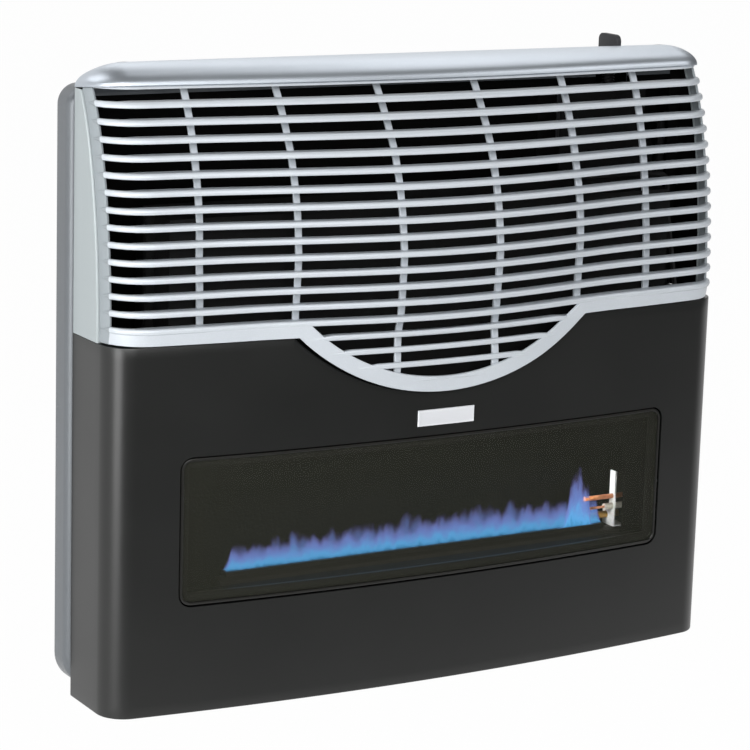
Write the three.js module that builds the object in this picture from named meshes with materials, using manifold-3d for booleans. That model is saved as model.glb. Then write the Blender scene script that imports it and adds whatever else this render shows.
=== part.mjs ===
// Wall mounted balanced-flue gas heater, built as an assembly of separate pieces.
// Millimetres, +Z up, +X to the viewer's right. The wall is the plane y = 0 and the heater stands out of it
// towards -Y. Heights are written from the lower edge of the front casing; the whole group is then lowered so
// that the origin is the wall reference point on the back of the rear frame.
import * as THREE from "three";
import { mergeVertices } from "three/addons/utils/BufferGeometryUtils.js";
import Module from "manifold-3d";

const wasm = await Module();
wasm.setup();

// ---------------------------------------------------------------- driving dimensions

const GAP = 0.3; // clearance kept between pieces that touch
const REVEAL = 1.5; // shadow line round the window and above the casing
const SHEET = 1.5; // pressed steel
const OVERLAP = 0.5; // how far parts of one piece run into each other before they are joined

const WALL_POINT_HEIGHT = 245; // wall reference point above the casing's lower edge
const CASE_HALF = 320; // half the casing's width, which the frame, the chamber and the controls follow
const CHAMBER_HALF = CASE_HALF - 58;

// rear frame
const FRAME_HALF = CASE_HALF + 4.3;
const FRAME_BOTTOM = 5;
const FRAME_TOP = 548.5;
const FRAME_DEPTH = 26;
const FRAME_LIP = 9; // radius of the rounded front edge
const FRAME_SEAT = 7; // flat behind which the casing and the cheeks are held
const FRAME_TOP_CORNER = 18;
const FRAME_BOTTOM_CORNER = 30;
const KEYHOLE_TOP = [CHAMBER_HALF + 15, 425]; // beside the chamber
const KEYHOLE_BOTTOM = [150, 60]; // under the chamber
const KEYHOLE_HEAD_R = 6;
const KEYHOLE_SLOT_R = 3;
const KEYHOLE_LENGTH = 12;

// front casing
const CASE_EDGE = 104.7; // depth at the sides if the corners were sharp
const CASE_CORNER = 26.4;
const BOW = 20.4; // the front stands this much further out in the middle
const CASE_TOP = 333;
const CASE_RETURN = 14; // lower edge turned inwards
const REAR_RETURN = 13; // rear edge turned inwards over the frame
const LOBE_R = 219.4; // the curved dip in the casing's upper edge
const LOBE_BOTTOM = 275;

// window
const WINDOW_HALF = CHAMBER_HALF - 6;
const WINDOW_BOTTOM = 97.5;
const WINDOW_TOP = 233.3;
const WINDOW_CORNER = 12;
const BEZEL_WIDTH = 2.5;
const BEZEL_LEDGE = 7;
const BEZEL_RECESS = 0.6;
const GLASS_RECESS = 1.2;
const GLASS_THICK = 4;
const GASKET_THICK = 1.4;
const LEDGE_THICK = 2;

// badge plate, left blank
const BADGE_X = 4.5;
const BADGE_WIDTH = 59.5;
const BADGE_BOTTOM = 242.5;
const BADGE_HEIGHT = 15;
const BADGE_THICK = 2;

// upper side cheeks and grille
const GRILLE_CORNER = 41;
const CHEEK_GAP = 0.9;
const FLANGE_DEPTH = 77; // depth of the cheek's front edge where it is vertical
const FLANGE_LEVEL = 340; // height of that point
const FLANGE_RISE = 240; // half height of the ellipse that the edge follows
const LOWER_SET_BACK = 3; // the lower rail sits back from the slats
const BELLY_HEIGHTS = [274, 301, 316, 330, 345, 375, 404, 433, 462, 491, 520, 535, 553];
const BELLY_DEPTHS = [2, 7.4, 9.2, 13, 16.8, 19.6, 22.8, 22.8, 22.2, 18.6, 11, 7.3, 3];
const BELLY_NARROW = 198;
const BELLY_WIDE = 265;
const BELLY_NARROW_LEVEL = 355;
const BELLY_WIDE_LEVEL = 440;
const SLAT_PITCH = 14.62;
const TOP_SLAT_UNDERSIDE = 535.2;
const FULL_SLATS = 14;
const LOBE_SLATS = 3;
const SLAT_FRONT = 4.8; // height of a slat's front
const SLAT_BACK = 3.2;
const SLAT_DEPTH = 13;
const RAIL_HEIGHT = 12.5;
const TOP_RAIL_HEIGHT = 2;
const RIM_RECESS = 1.6; // the rim lies this far behind the slats' fronts
const RIM_THICK = 2.5;
const RIM_WALL = 1.8;
const LOBE_RIM = 14.5;
const SLOT_EDGE_ANGLE = 25; // where the slots start on the rounded corner, in degrees from the side
const TIP_ANGLE = 4; // how far the slats' tips run onto the side band
const RIB_X = [51, 148.5, 235.5];
const RIB_WIDTH = 8;
const RIB_DEPTH = 5;

// top cap
const CAP_EDGE = 71;
const CAP_CORNER = 34;
const CAP_BULGE = 5;
const CAP_LIP_REAR = 547.8;
const CAP_LIP_FRONT = 553.8;
const CAP_LIP_RUN = 48; // depth over which the lip climbs
const CAP_CREST = 569;
const CAP_ROUND = 40; // how far in the rounded edge runs
const CAP_FALL = 5; // the top falls this much towards the wall
const CAP_WALL = 2;
const GRILLE_TOP = CAP_LIP_FRONT - GAP;

// combustion chamber
const CHAMBER_BOTTOM = 76;
const CHAMBER_TOP = 440;
const CHAMBER_BACK = 30;
const CHAMBER_FRONT = 97;
const CHAMBER_SPLIT = 64;
const CHAMBER_FLANGE = 8;
const SEAL_THICK = 2;
const PORT_HALF = CHAMBER_HALF - 36; // opening in the chamber's front
const PORT_BOTTOM = 104;
const PORT_TOP = 198;
const PORT_CORNER = 8;
const THROAT_WALL = 2;
const BRACKET_X = CHAMBER_HALF - 57;
const BRACKET_WIDTH = 24;
const BRACKET_BOTTOM = 110;
const BRACKET_TOP = 400;

// flue
const FLUE_HEIGHT = 345;
const AIR_COLLAR_R = 75;
const EXHAUST_R = 50;
const FLUE_WALL = 1.2;
const FLUE_FLANGE = 8;
const FLUE_SIDES = 28;
const BAFFLE_DEPTH = 45;
const BAFFLE_BOTTOM = 150;

// burner
const BURNER_Y = -82;
const BURNER_Z = 102;
const BURNER_R = 10;
const BURNER_WALL = 1.2;
const STRIP_LEFT = 29 - PORT_HALF;
const STRIP_RIGHT = PORT_HALF - 15;
const BURNER_LEFT = STRIP_LEFT - 7;
const BURNER_RIGHT = CHAMBER_HALF + 26;
const STRIP_WIDTH = 12;
const STRIP_HEIGHT = 4.2;
const PORT_SLOTS = 17;
const PORT_SLOT_WIDTH = 3;
const SADDLE_X = BURNER_LEFT + 22;
const SADDLE_WIDTH = 18;
const PLATE_BOTTOM = 82;
const PLATE_TOP = 158;
const PLATE_REAR = 67.5;
const PLATE_FRONT = 95.8;
const PLATE_SCREW_INSET = 3.6;
const PLATE_RIM = 2.5;
const SCREW_R = 1.3;
const SCREW_HEAD_R = 2.6;
const SCREW_HEAD = 1.6;
const GASKET_SHEET = 1;
const INJECTOR_LENGTH = 20;
const INJECTOR_R = 7;
const BRIDGE_HALF = 7;
const INJECTOR_INLET = 14;
const INJECTOR_INLET_BACK = 6.5;

// pilot group
const PILOT_PLATE_X = STRIP_RIGHT + 10;
const PILOT_PLATE_TOP = 167;
const PILOT_PLATE_STEP = 128;
const PILOT_REAR = 71;
const PILOT_FRONT = 90;
const PILOT_STEP_REAR = 81;
const PILOT_Y = -76;
const PILOT_Z = 121.5;
const PILOT_R = 3.5;
const PILOT_TIP_X = PILOT_PLATE_X - 39;
const ROD_Y = -85.5;
const THERMOCOUPLE_Z = 142;
const THERMOCOUPLE_R = 2.4;
const THERMOCOUPLE_TIP_X = PILOT_PLATE_X - 32;
const ELECTRODE_Z = 132;
const ELECTRODE_R = 1.3;
const ELECTRODE_TIP_X = PILOT_PLATE_X - 25;
const CERAMIC_R = 3.2;
const CERAMIC_TIP_X = PILOT_PLATE_X - 9;

// controls
const KNOB_X = CASE_HALF - 81.5;
const KNOB_Y = -21;
const KNOB_SKIRT_R = 16.5;
const KNOB_UNDERSIDE = 550.5;
const KNOB_SKIRT = 5.5;
const KNOB_TOP = 579.3;
const BLADE_LENGTH = 31;
const BLADE_WIDTH = 5.2;
const BLADE_CORNER = 6;
const KNOB_HUB_R = 8;
const KNOB_HUB = 4.5;
const SPINDLE_R = 4;
const SPINDLE_BOTTOM = 513;
const SLEEVE_R = 7.2;
const SLEEVE_TOP = 530;
const VALVE_LEFT = KNOB_X - 26.5;
const VALVE_RIGHT = KNOB_X + 26.5;
const VALVE_FRONT = 38;
const VALVE_BOTTOM = 462;
const VALVE_TOP = 514;
const BONNET_R = 13;
const BONNET_TOP = 526;
const BONNET_FLOOR = 508;
const PORT_BOSS_R = 8;
const PORT_BOSS = 7;
const CONTROL_PLATE_FRONT = 42;
const CONTROL_PLATE_BOTTOM = 455;
const CONTROL_PLATE_RIGHT = VALVE_RIGHT + 3;
const KNOB_CLEARANCE = 2.2;
const IGNITER_X = KNOB_X - 42.5;
const IGNITER_Y = -14;
const IGNITER_R = 9;
const IGNITER_BOTTOM = 478;
const IGNITER_TOP = 547;
const IGNITER_COLLAR_R = 12;
const IGNITER_COLLAR = 4;
const IGNITER_FLOOR = 500;
const BUTTON_R = 6;
const BUTTON_CAP_R = 7;
const BUTTON_BOTTOM = 512;
const BUTTON_CAP_BOTTOM = 553;
const BUTTON_TOP = 561;
const SPRING_WALL = 1.4;
const CONTROL_PLATE_LEFT = IGNITER_X - 24;

// gas supply
const UNION_X = CASE_HALF - 28;
const UNION_Y = -15;
const UNION_BOTTOM = 10;
const UNION_TOP = 38;
const UNION_R = 11;
const UNION_HEX_R = 13.5;
const UNION_HEX_TOP = 26;
const UNION_BORE_R = 7.5;
const SUPPLY_R = 6;
const BURNER_PIPE_R = 4;
const PILOT_PIPE_R = 2;
const THERMO_LEAD_R = 1.5;
const IGNITION_LEAD_R = 2.5;
const PILOT_RUN_X = CASE_HALF - 36;
const THERMO_RUN_X = CASE_HALF - 44;
const IGNITION_RUN_X = CASE_HALF - 30;
const SUPPLY_BEND_LOW = 250; // where the burner's pipe starts to lean back
const SUPPLY_BEND_HIGH = 380;
const LEAD_BEND_LOW = 300; // where the leads start to lean back
const LEAD_BEND_HIGH = 420;
const PILOT_PORT = [KNOB_X + 7.5, -30]; // under the valve
const THERMO_PORT = [KNOB_X - 13.5, -24];
const IGNITION_CROSSING = -55; // depth at which the ignition lead runs to the igniter

// ---------------------------------------------------------------- finishes

const finish = (color, roughness, metalness) => new THREE.MeshStandardMaterial({ color, roughness, metalness });
const FINISH = {
  charcoal: finish(0x2a2b2a, 0.42, 0.3),
  silver: finish(0xc4c9cf, 0.35, 0.55),
  capSilver: finish(0xb4bac2, 0.3, 0.6),
  cheek: finish(0xb2bbbc, 0.45, 0.35),
  frame: finish(0x8f9496, 0.45, 0.4),
  glass: finish(0x20211d, 0.08, 0.0),
  black: finish(0x141414, 0.7, 0.1),
  steel: finish(0x9a9a98, 0.4, 0.8),
  brass: finish(0xb08d45, 0.35, 0.8),
  copper: finish(0xb06b45, 0.4, 0.8),
  ceramic: finish(0xe8e2d4, 0.5, 0.0),
  knob: finish(0x2c2d2f, 0.55, 0.0),
  seal: finish(0x5a5650, 0.9, 0.0),
  badge: finish(0xc8cbd0, 0.25, 0.8),
};

// ---------------------------------------------------------------- solids

// A closed geometry as a solid, its faces turned outwards.
function solid(geometry) {
  const flat = new THREE.BufferGeometry();
  flat.setAttribute("position", geometry.getAttribute("position").clone());
  if (geometry.index) flat.setIndex(geometry.index.clone());
  const merged = mergeVertices(flat, 1e-3);
  const p = merged.attributes.position.array;
  const t = new Uint32Array(merged.index.array);
  let six = 0;
  for (let i = 0; i < t.length; i += 3) {
    const [a, b, c] = [3 * t[i], 3 * t[i + 1], 3 * t[i + 2]];
    six += p[a] * (p[b + 1] * p[c + 2] - p[b + 2] * p[c + 1]);
    six -= p[a + 1] * (p[b] * p[c + 2] - p[b + 2] * p[c]);
    six += p[a + 2] * (p[b] * p[c + 1] - p[b + 1] * p[c]);
  }
  if (six < 0) for (let i = 0; i < t.length; i += 3) [t[i + 1], t[i + 2]] = [t[i + 2], t[i + 1]];
  return new wasm.Manifold(new wasm.Mesh({ numProp: 3, vertProperties: p, triVerts: t }));
}

const join = (first, ...rest) => rest.reduce((sum, s) => sum.add(s), first);
const cut = (first, ...rest) => rest.reduce((left, s) => left.subtract(s), first);
const common = (first, ...rest) => rest.reduce((left, s) => left.intersect(s), first);

// A box between two corners, given as [low, high] along each axis.
function box([x0, x1], [y0, y1], [z0, z1]) {
  const g = new THREE.BoxGeometry(x1 - x0, y1 - y0, z1 - z0);
  return solid(g.translate((x0 + x1) / 2, (y0 + y1) / 2, (z0 + z1) / 2));
}

// A round bar along an axis, through the point `at` in the other two coordinates.
function bar(axis, r, [from, to], at, sides = 16) {
  const g = new THREE.CylinderGeometry(r, r, to - from, sides);
  const middle = (from + to) / 2;
  if (axis === "x") g.rotateZ(-Math.PI / 2).translate(middle, at[0], at[1]);
  if (axis === "y") g.translate(at[0], middle, at[1]);
  if (axis === "z") g.rotateX(Math.PI / 2).translate(at[0], at[1], middle);
  return solid(g);
}

const tube = (axis, outer, inner, [from, to], at, sides = 16) =>
  cut(bar(axis, outer, [from, to], at, sides), bar(axis, inner, [from - 1, to + 1], at, sides));

const shapeOf = (points) => new THREE.Shape(points.map(([a, b]) => new THREE.Vector2(a, b)));

// A plan outline, as [x, y] points, raised from one height to another.
function raise(points, [z0, z1]) {
  const g = new THREE.ExtrudeGeometry(shapeOf(points), { depth: z1 - z0, bevelEnabled: false });
  return solid(g.translate(0, 0, z0));
}

// A front view outline, as [x, z] points, run from one depth to another along y.
function runBack(points, [y0, y1]) {
  const g = new THREE.ExtrudeGeometry(shapeOf(points), { depth: y1 - y0, bevelEnabled: false });
  return solid(g.rotateX(Math.PI / 2).translate(0, y1, 0));
}

// A side view outline, as [y, z] points, run from one x to another.
function runAcross(points, [x0, x1]) {
  const g = new THREE.ExtrudeGeometry(shapeOf(points), { depth: x1 - x0, bevelEnabled: false });
  g.applyMatrix4(new THREE.Matrix4().makeBasis(
    new THREE.Vector3(0, 1, 0), new THREE.Vector3(0, 0, 1), new THREE.Vector3(1, 0, 0)));
  return solid(g.translate(x0, 0, 0));
}

// A closed solid from two matching grids of points, one for each face of a thick sheet.
function slab(outer, inner) {
  const rows = outer.length;
  const cols = outer[0].length;
  const position = [...outer.flat(), ...inner.flat()].flat();
  const o = (i, j) => i * cols + j;
  const n = (i, j) => rows * cols + i * cols + j;
  const index = [];
  const quad = (a, b, c, d) => index.push(a, b, c, a, c, d);
  for (let i = 0; i + 1 < rows; i++)
    for (let j = 0; j + 1 < cols; j++) {
      quad(o(i, j), o(i, j + 1), o(i + 1, j + 1), o(i + 1, j));
      quad(n(i, j), n(i + 1, j), n(i + 1, j + 1), n(i, j + 1));
    }
  for (let j = 0; j + 1 < cols; j++) {
    quad(o(0, j + 1), o(0, j), n(0, j), n(0, j + 1));
    quad(o(rows - 1, j), o(rows - 1, j + 1), n(rows - 1, j + 1), n(rows - 1, j));
  }
  for (let i = 0; i + 1 < rows; i++) {
    quad(o(i, 0), o(i + 1, 0), n(i + 1, 0), n(i, 0));
    quad(o(i + 1, cols - 1), o(i, cols - 1), n(i, cols - 1), n(i + 1, cols - 1));
  }
  const g = new THREE.BufferGeometry();
  g.setAttribute("position", new THREE.Float32BufferAttribute(position, 3));
  g.setIndex(index);
  return solid(g);
}

// A closed solid through a stack of matching closed rings of points, its first and last ring filled.
function loft(rings) {
  const count = rings[0].length;
  const centre = (ring) => [0, 1, 2].map((k) => ring.reduce((s, p) => s + p[k], 0) / count);
  const position = [...rings.flat(), centre(rings[0]), centre(rings[rings.length - 1])].flat();
  const first = rings.length * count;
  const index = [];
  for (let r = 0; r + 1 < rings.length; r++)
    for (let i = 0; i < count; i++) {
      const [a, b] = [r * count + i, r * count + ((i + 1) % count)];
      index.push(a, b, b + count, a, b + count, a + count);
    }
  for (let i = 0; i < count; i++) {
    const k = (i + 1) % count;
    index.push(first, k, i);
    index.push(first + 1, first - count + i, first - count + k);
  }
  const g = new THREE.BufferGeometry();
  g.setAttribute("position", new THREE.Float32BufferAttribute(position, 3));
  g.setIndex(index);
  return solid(g);
}

// A pipe or lead that rounds off the inner corners of its route.
function pipe(route, r, bend, sides = 8) {
  const corners = route.map((p) => new THREE.Vector3(...p));
  const path = [corners[0]];
  for (let i = 1; i + 1 < corners.length; i++) {
    const legs = [corners[i - 1], corners[i + 1]].map((p) => p.clone().sub(corners[i]));
    const reach = Math.min(bend, ...legs.map((leg) => leg.length() / 2.1));
    const [from, to] = legs.map((leg) => corners[i].clone().add(leg.setLength(reach)));
    path.push(...new THREE.QuadraticBezierCurve3(from, corners[i], to).getPoints(4));
  }
  path.push(corners[corners.length - 1]);
  const legs = path.slice(1).map((p, i) => p.clone().sub(path[i]).normalize());
  const along = path.map((_, i) => legs[Math.max(i - 1, 0)].clone().add(legs[Math.min(i, legs.length - 1)]).normalize());
  const turn = new THREE.Quaternion();
  const side = new THREE.Vector3(0.3, 0.5, 0.8).cross(along[0]).normalize();
  const rings = path.map((p, i) => {
    if (i) side.applyQuaternion(turn.setFromUnitVectors(along[i - 1], along[i]));
    return Array.from({ length: sides }, (_, k) =>
      side.clone().applyAxisAngle(along[i], (2 * Math.PI * k) / sides).multiplyScalar(r).add(p).toArray());
  });
  return loft(rings);
}

const circle = (x, z, r, sides = 48) =>
  Array.from({ length: sides }, (_, i) => {
    const a = (2 * Math.PI * i) / sides;
    return [x + r * Math.cos(a), z + r * Math.sin(a)];
  });

// A rectangle with rounded corners. Corner radii are given for the top and the bottom.
function roundedRectangle([x0, x1], [z0, z1], topR, bottomR = topR, steps = 4) {
  const corner = (cx, cz, r, start) =>
    Array.from({ length: steps + 1 }, (_, i) => {
      const a = start + (Math.PI / 2) * (i / steps);
      return [cx + r * Math.cos(a), cz + r * Math.sin(a)];
    });
  return [
    ...corner(x1 - topR, z1 - topR, topR, 0),
    ...corner(x0 + topR, z1 - topR, topR, Math.PI / 2),
    ...corner(x0 + bottomR, z0 + bottomR, bottomR, Math.PI),
    ...corner(x1 - bottomR, z0 + bottomR, bottomR, 1.5 * Math.PI),
  ];
}

// ---------------------------------------------------------------- bowed plans

const bell = (x, reach) => (1 - Math.min(Math.abs(x) / reach, 1) ** 2) ** 2;

function between(levels, values, level) {
  if (level <= levels[0]) return values[0];
  for (let i = 1; i < levels.length; i++)
    if (level <= levels[i]) {
      const t = (level - levels[i - 1]) / (levels[i] - levels[i - 1]);
      return values[i - 1] + t * (values[i] - values[i - 1]);
    }
  return values[values.length - 1];
}

// Depth of a bowed front at x, before its corners are rounded.
const bowDepth = (x, { edge, bulge = 0, reach = 1 }) =>
  edge + BOW * (1 - (x / CASE_HALF) ** 2) + bulge * bell(x, reach);

// Points of a bowed plan with their outward normals, from the left rear round the front to the right rear.
// `wrap` says how far it follows the rounded corners, in degrees.
function bowedPlan({ edge, corner, rear, bulge = 0, reach = 1, wrap = 90 }, frontSteps = 12, cornerSteps = 4) {
  const plan = { edge, bulge, reach };
  const slope = Math.atan((2 * BOW * (CASE_HALF - corner)) / CASE_HALF ** 2);
  const cx = CASE_HALF - corner;
  const joinX = cx + corner * Math.sin(slope);
  const cy = -bowDepth(joinX, plan) + corner * Math.cos(slope);
  const right = [];
  for (let i = 0; i <= frontSteps / 2; i++) {
    const x = (joinX * 2 * i) / frontSteps;
    const lean = (bowDepth(x + 0.5, plan) - bowDepth(x - 0.5, plan)) / 1;
    const length = Math.hypot(lean, 1);
    right.push({ x, y: -bowDepth(x, plan), nx: -lean / length, ny: -1 / length });
  }
  for (let i = 1; i <= cornerSteps; i++) {
    const a = slope + ((wrap * Math.PI) / 180 - slope) * (i / cornerSteps);
    right.push({ x: cx + corner * Math.sin(a), y: cy - corner * Math.cos(a), nx: Math.sin(a), ny: -Math.cos(a) });
  }
  if (rear > -Infinity && -rear > cy + 1e-6) right.push({ x: CASE_HALF, y: -rear, nx: 1, ny: 0 });
  const left = right.slice(1).reverse().map(({ x, y, nx, ny }) => ({ x: -x, y, nx: -nx, ny }));
  return [...left, ...right];
}

const inset = (plan, by) => plan.map(({ x, y, nx, ny }) => [x - nx * by, y - ny * by]);

// A bowed band between two insets of a plan.
const band = (plan, from, to, heights) => raise([...inset(plan, from), ...inset(plan, to).reverse()], heights);

const casePlan = () => bowedPlan({ edge: CASE_EDGE, corner: CASE_CORNER, rear: FRAME_DEPTH + GAP });

// Everything further in than an inset of the casing's front.
const caseCore = (by, heights) => raise(inset(casePlan(), by), heights);

// ---------------------------------------------------------------- rear frame

const flueHole = (r, depths) => bar("y", r, depths, [0, FLUE_HEIGHT], FLUE_SIDES);

function keyhole(x, z) {
  const slot = box([x - KEYHOLE_SLOT_R, x + KEYHOLE_SLOT_R], [-2 * SHEET, SHEET], [z, z + KEYHOLE_LENGTH]);
  const end = bar("y", KEYHOLE_SLOT_R, [-2 * SHEET, SHEET], [x, z + KEYHOLE_LENGTH], 16);
  return join(bar("y", KEYHOLE_HEAD_R, [-2 * SHEET, SHEET], [x, z], 16), slot, end);
}

const frameOutline = (by) =>
  roundedRectangle([-FRAME_HALF + by, FRAME_HALF - by], [FRAME_BOTTOM + by, FRAME_TOP - by],
    FRAME_TOP_CORNER - by, FRAME_BOTTOM_CORNER - by);

// The rim that stands round the wall plate.
function rearFrame() {
  const ring = (by, depth) => frameOutline(by).map(([x, z]) => [x, -depth, z]);
  const turn = FRAME_LIP;
  const lip = (r) =>
    [0, 30, 60, 90].map((deg) => {
      const a = (deg * Math.PI) / 180;
      return ring(turn - r * Math.cos(a), FRAME_DEPTH - turn + r * Math.sin(a));
    });
  const tray = loft([
    ring(0, 0), ...lip(turn), ring(turn + FRAME_SEAT, FRAME_DEPTH), ring(turn + FRAME_SEAT, FRAME_DEPTH - SHEET),
    ...lip(turn - SHEET).reverse(), ring(SHEET, SHEET),
  ]);
  const throughTop = [FRAME_TOP - FRAME_LIP - FRAME_SEAT - 1, FRAME_TOP + 1];
  const throughFloor = [FRAME_BOTTOM - 1, FRAME_BOTTOM + FRAME_LIP + FRAME_SEAT + 1];
  const knobWell = bar("z", KNOB_SKIRT_R + KNOB_CLEARANCE, throughTop, [KNOB_X, KNOB_Y], 32);
  const igniterHole = bar("z", IGNITER_R + 1, throughTop, [IGNITER_X, IGNITER_Y]);
  const unionHole = bar("z", UNION_HEX_R + 1, throughFloor, [UNION_X, UNION_Y]);
  return cut(tray, runBack(frameOutline(SHEET), [-SHEET - 1, 1]), knobWell, igniterHole, unionHole);
}

function wallPlate() {
  const sheet = runBack(frameOutline(SHEET + GAP), [-SHEET, 0]);
  const keyholes = [KEYHOLE_TOP, KEYHOLE_BOTTOM].flatMap(([x, z]) => [keyhole(-x, z), keyhole(x, z)]);
  return cut(sheet, flueHole(AIR_COLLAR_R, [-2 * SHEET, SHEET]), ...keyholes);
}

// ---------------------------------------------------------------- front casing, window and badge

const frontRun = [-2 * CASE_EDGE, -FRAME_DEPTH - CASE_CORNER];

const windowOutline = (by) =>
  roundedRectangle([-WINDOW_HALF + by, WINDOW_HALF - by], [WINDOW_BOTTOM + by, WINDOW_TOP - by],
    Math.max(WINDOW_CORNER - by, 1));

const lobeCircle = (r) => circle(0, LOBE_BOTTOM + LOBE_R, r);

function frontCasing() {
  const plan = casePlan();
  const skin = band(plan, 0, SHEET, [0, CASE_TOP]);
  const foot = band(plan, SHEET - OVERLAP, CASE_RETURN, [0, SHEET]);
  return cut(join(skin, foot, rearReturn(-1, [0, CASE_TOP]), rearReturn(1, [0, CASE_TOP])), runBack(lobeCircle(LOBE_R + REVEAL), frontRun), runBack(windowOutline(0), frontRun));
}

// The rear edge of a side, turned inwards to lie on the frame's seat.
function rearReturn(side, heights) {
  const x = [side * (CASE_HALF - SHEET + OVERLAP), side * (CASE_HALF - REAR_RETURN)].sort((a, b) => a - b);
  return box(x, [-FRAME_DEPTH - GAP - SHEET, -FRAME_DEPTH - GAP], heights);
}

// A layer of the front between two insets of the casing, inside one outline and outside another.
function frontLayer(from, to, outside, inside) {
  const layer = common(band(casePlan(), from, to, [0, CASE_TOP]), runBack(outside, frontRun));
  return inside ? cut(layer, runBack(inside, frontRun)) : layer;
}

const GLASS_BACK = GLASS_RECESS + GLASS_THICK;
const LEDGE_FRONT = GLASS_BACK + GAP + GASKET_THICK + GAP;
const LEDGE_BACK = LEDGE_FRONT + LEDGE_THICK;

function windowBezel() {
  const rim = frontLayer(BEZEL_RECESS, LEDGE_BACK, windowOutline(REVEAL), windowOutline(REVEAL + BEZEL_WIDTH));
  const ledge = frontLayer(LEDGE_FRONT, LEDGE_BACK, windowOutline(REVEAL + OVERLAP),
    windowOutline(REVEAL + BEZEL_WIDTH + BEZEL_LEDGE));
  return join(rim, ledge);
}

const windowGlass = () => frontLayer(GLASS_RECESS, GLASS_BACK, windowOutline(REVEAL + BEZEL_WIDTH + GAP));

const windowGasket = () =>
  frontLayer(GLASS_BACK + GAP, LEDGE_FRONT - GAP, windowOutline(REVEAL + BEZEL_WIDTH + GAP),
    windowOutline(REVEAL + BEZEL_WIDTH + BEZEL_LEDGE));

function badgePlate() {
  const half = BADGE_WIDTH / 2;
  const outline = (by) => [
    [BADGE_X - half + by, BADGE_BOTTOM + by], [BADGE_X + half - by, BADGE_BOTTOM + by],
    [BADGE_X + half - by, BADGE_BOTTOM + BADGE_HEIGHT - by], [BADGE_X - half + by, BADGE_BOTTOM + BADGE_HEIGHT - by],
  ];
  const depth = (x) => bowDepth(x, { edge: CASE_EDGE });
  const ring = (by, out) => outline(by).map(([x, z]) => [x, -depth(x) - out, z]);
  return loft([ring(0, GAP), ring(0, BADGE_THICK - 1), ring(1, BADGE_THICK), ring(2, BADGE_THICK)]);
}

// ---------------------------------------------------------------- cheeks, grille and cap

// Depth of the edge where the cheek meets the grille.
const flangeDepth = (z) => FLANGE_DEPTH * Math.sqrt(1 - (Math.max(z - FLANGE_LEVEL, 0) / FLANGE_RISE) ** 2);

// The plan of the slats' fronts at a height.
function grillePlan(z, wrap = 90, frontSteps = 12, cornerSteps = 4) {
  const settle = Math.min(Math.max((TOP_SLAT_UNDERSIDE - FULL_SLATS * SLAT_PITCH + SLAT_PITCH - z) / SLAT_PITCH, 0), 1);
  const rear = flangeDepth(z);
  const slope = Math.atan((2 * BOW * (CASE_HALF - GRILLE_CORNER)) / CASE_HALF ** 2);
  const joinX = CASE_HALF - GRILLE_CORNER * (1 - Math.sin(slope));
  const front = rear + GRILLE_CORNER * Math.cos(slope);
  const edge = front - BOW * (1 - (joinX / CASE_HALF) ** 2) - LOWER_SET_BACK * settle;
  const reach = between([BELLY_NARROW_LEVEL, BELLY_WIDE_LEVEL], [BELLY_NARROW, BELLY_WIDE], z);
  const bulge = between(BELLY_HEIGHTS, BELLY_DEPTHS, z);
  return bowedPlan({ edge, corner: GRILLE_CORNER, rear: -Infinity, bulge, reach, wrap }, frontSteps, cornerSteps);
}

function cheek(side) {
  const rear = FRAME_DEPTH + GAP;
  const bottom = CASE_TOP + GAP;
  const lip = (depth) => CAP_LIP_REAR + (CAP_LIP_FRONT - CAP_LIP_REAR) * Math.min((depth - FRAME_DEPTH) / CAP_LIP_RUN, 1);
  const steps = 12;
  const topDepth = flangeDepth(CAP_LIP_REAR) - CHEEK_GAP;
  const edge = Array.from({ length: steps + 1 }, (_, i) => {
    const z = bottom + ((CAP_LIP_REAR - bottom) * i) / steps;
    return [-(flangeDepth(z) - CHEEK_GAP), i < steps ? z : lip(topDepth) - GAP];
  });
  const outline = [[-rear, bottom], ...edge, [-rear, lip(rear) - GAP]];
  const x = [side * CASE_HALF, side * (CASE_HALF - SHEET)].sort((a, b) => a - b);
  return join(runAcross(outline, x), rearReturn(side, [bottom, FRAME_TOP - FRAME_TOP_CORNER]));
}

// A thick sheet that follows the slats' fronts, between two insets.
function grilleSheet(from, to, heights) {
  const steps = 7;
  const rows = Array.from({ length: steps + 1 }, (_, i) => heights[0] + ((heights[1] - heights[0]) * i) / steps);
  const face = (by) => rows.map((z) => inset(grillePlan(z, 90, 10, 3), by).map(([x, y]) => [x, y, z]));
  return slab(face(from), face(to));
}

// A slat follows the grille's plan at its own height; `half` limits the short ones in the lobe.
function slat(z, half) {
  const level = z + SLAT_FRONT / 2;
  const path = half ? shortPlan(level, half) : grillePlan(level, 90 - SLOT_EDGE_ANGLE + TIP_ANGLE, 10, 2);
  const front = inset(path, 0);
  const back = inset(path, SLAT_DEPTH);
  const drop = (SLAT_FRONT - SLAT_BACK) / 2;
  const low = [front.map(([x, y]) => [x, y, z]), back.map(([x, y]) => [x, y, z + drop])];
  const high = [front.map(([x, y]) => [x, y, z + SLAT_FRONT]), back.map(([x, y]) => [x, y, z + SLAT_FRONT - drop])];
  return slab(high, low);
}

function shortPlan(z, half) {
  const steps = 6;
  const plan = grillePlan(z, 90, 120);
  const at = (x) => plan.reduce((best, p) => (Math.abs(p.x - x) < Math.abs(best.x - x) ? p : best));
  return Array.from({ length: steps + 1 }, (_, i) => at(-half + (2 * half * i) / steps));
}

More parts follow.
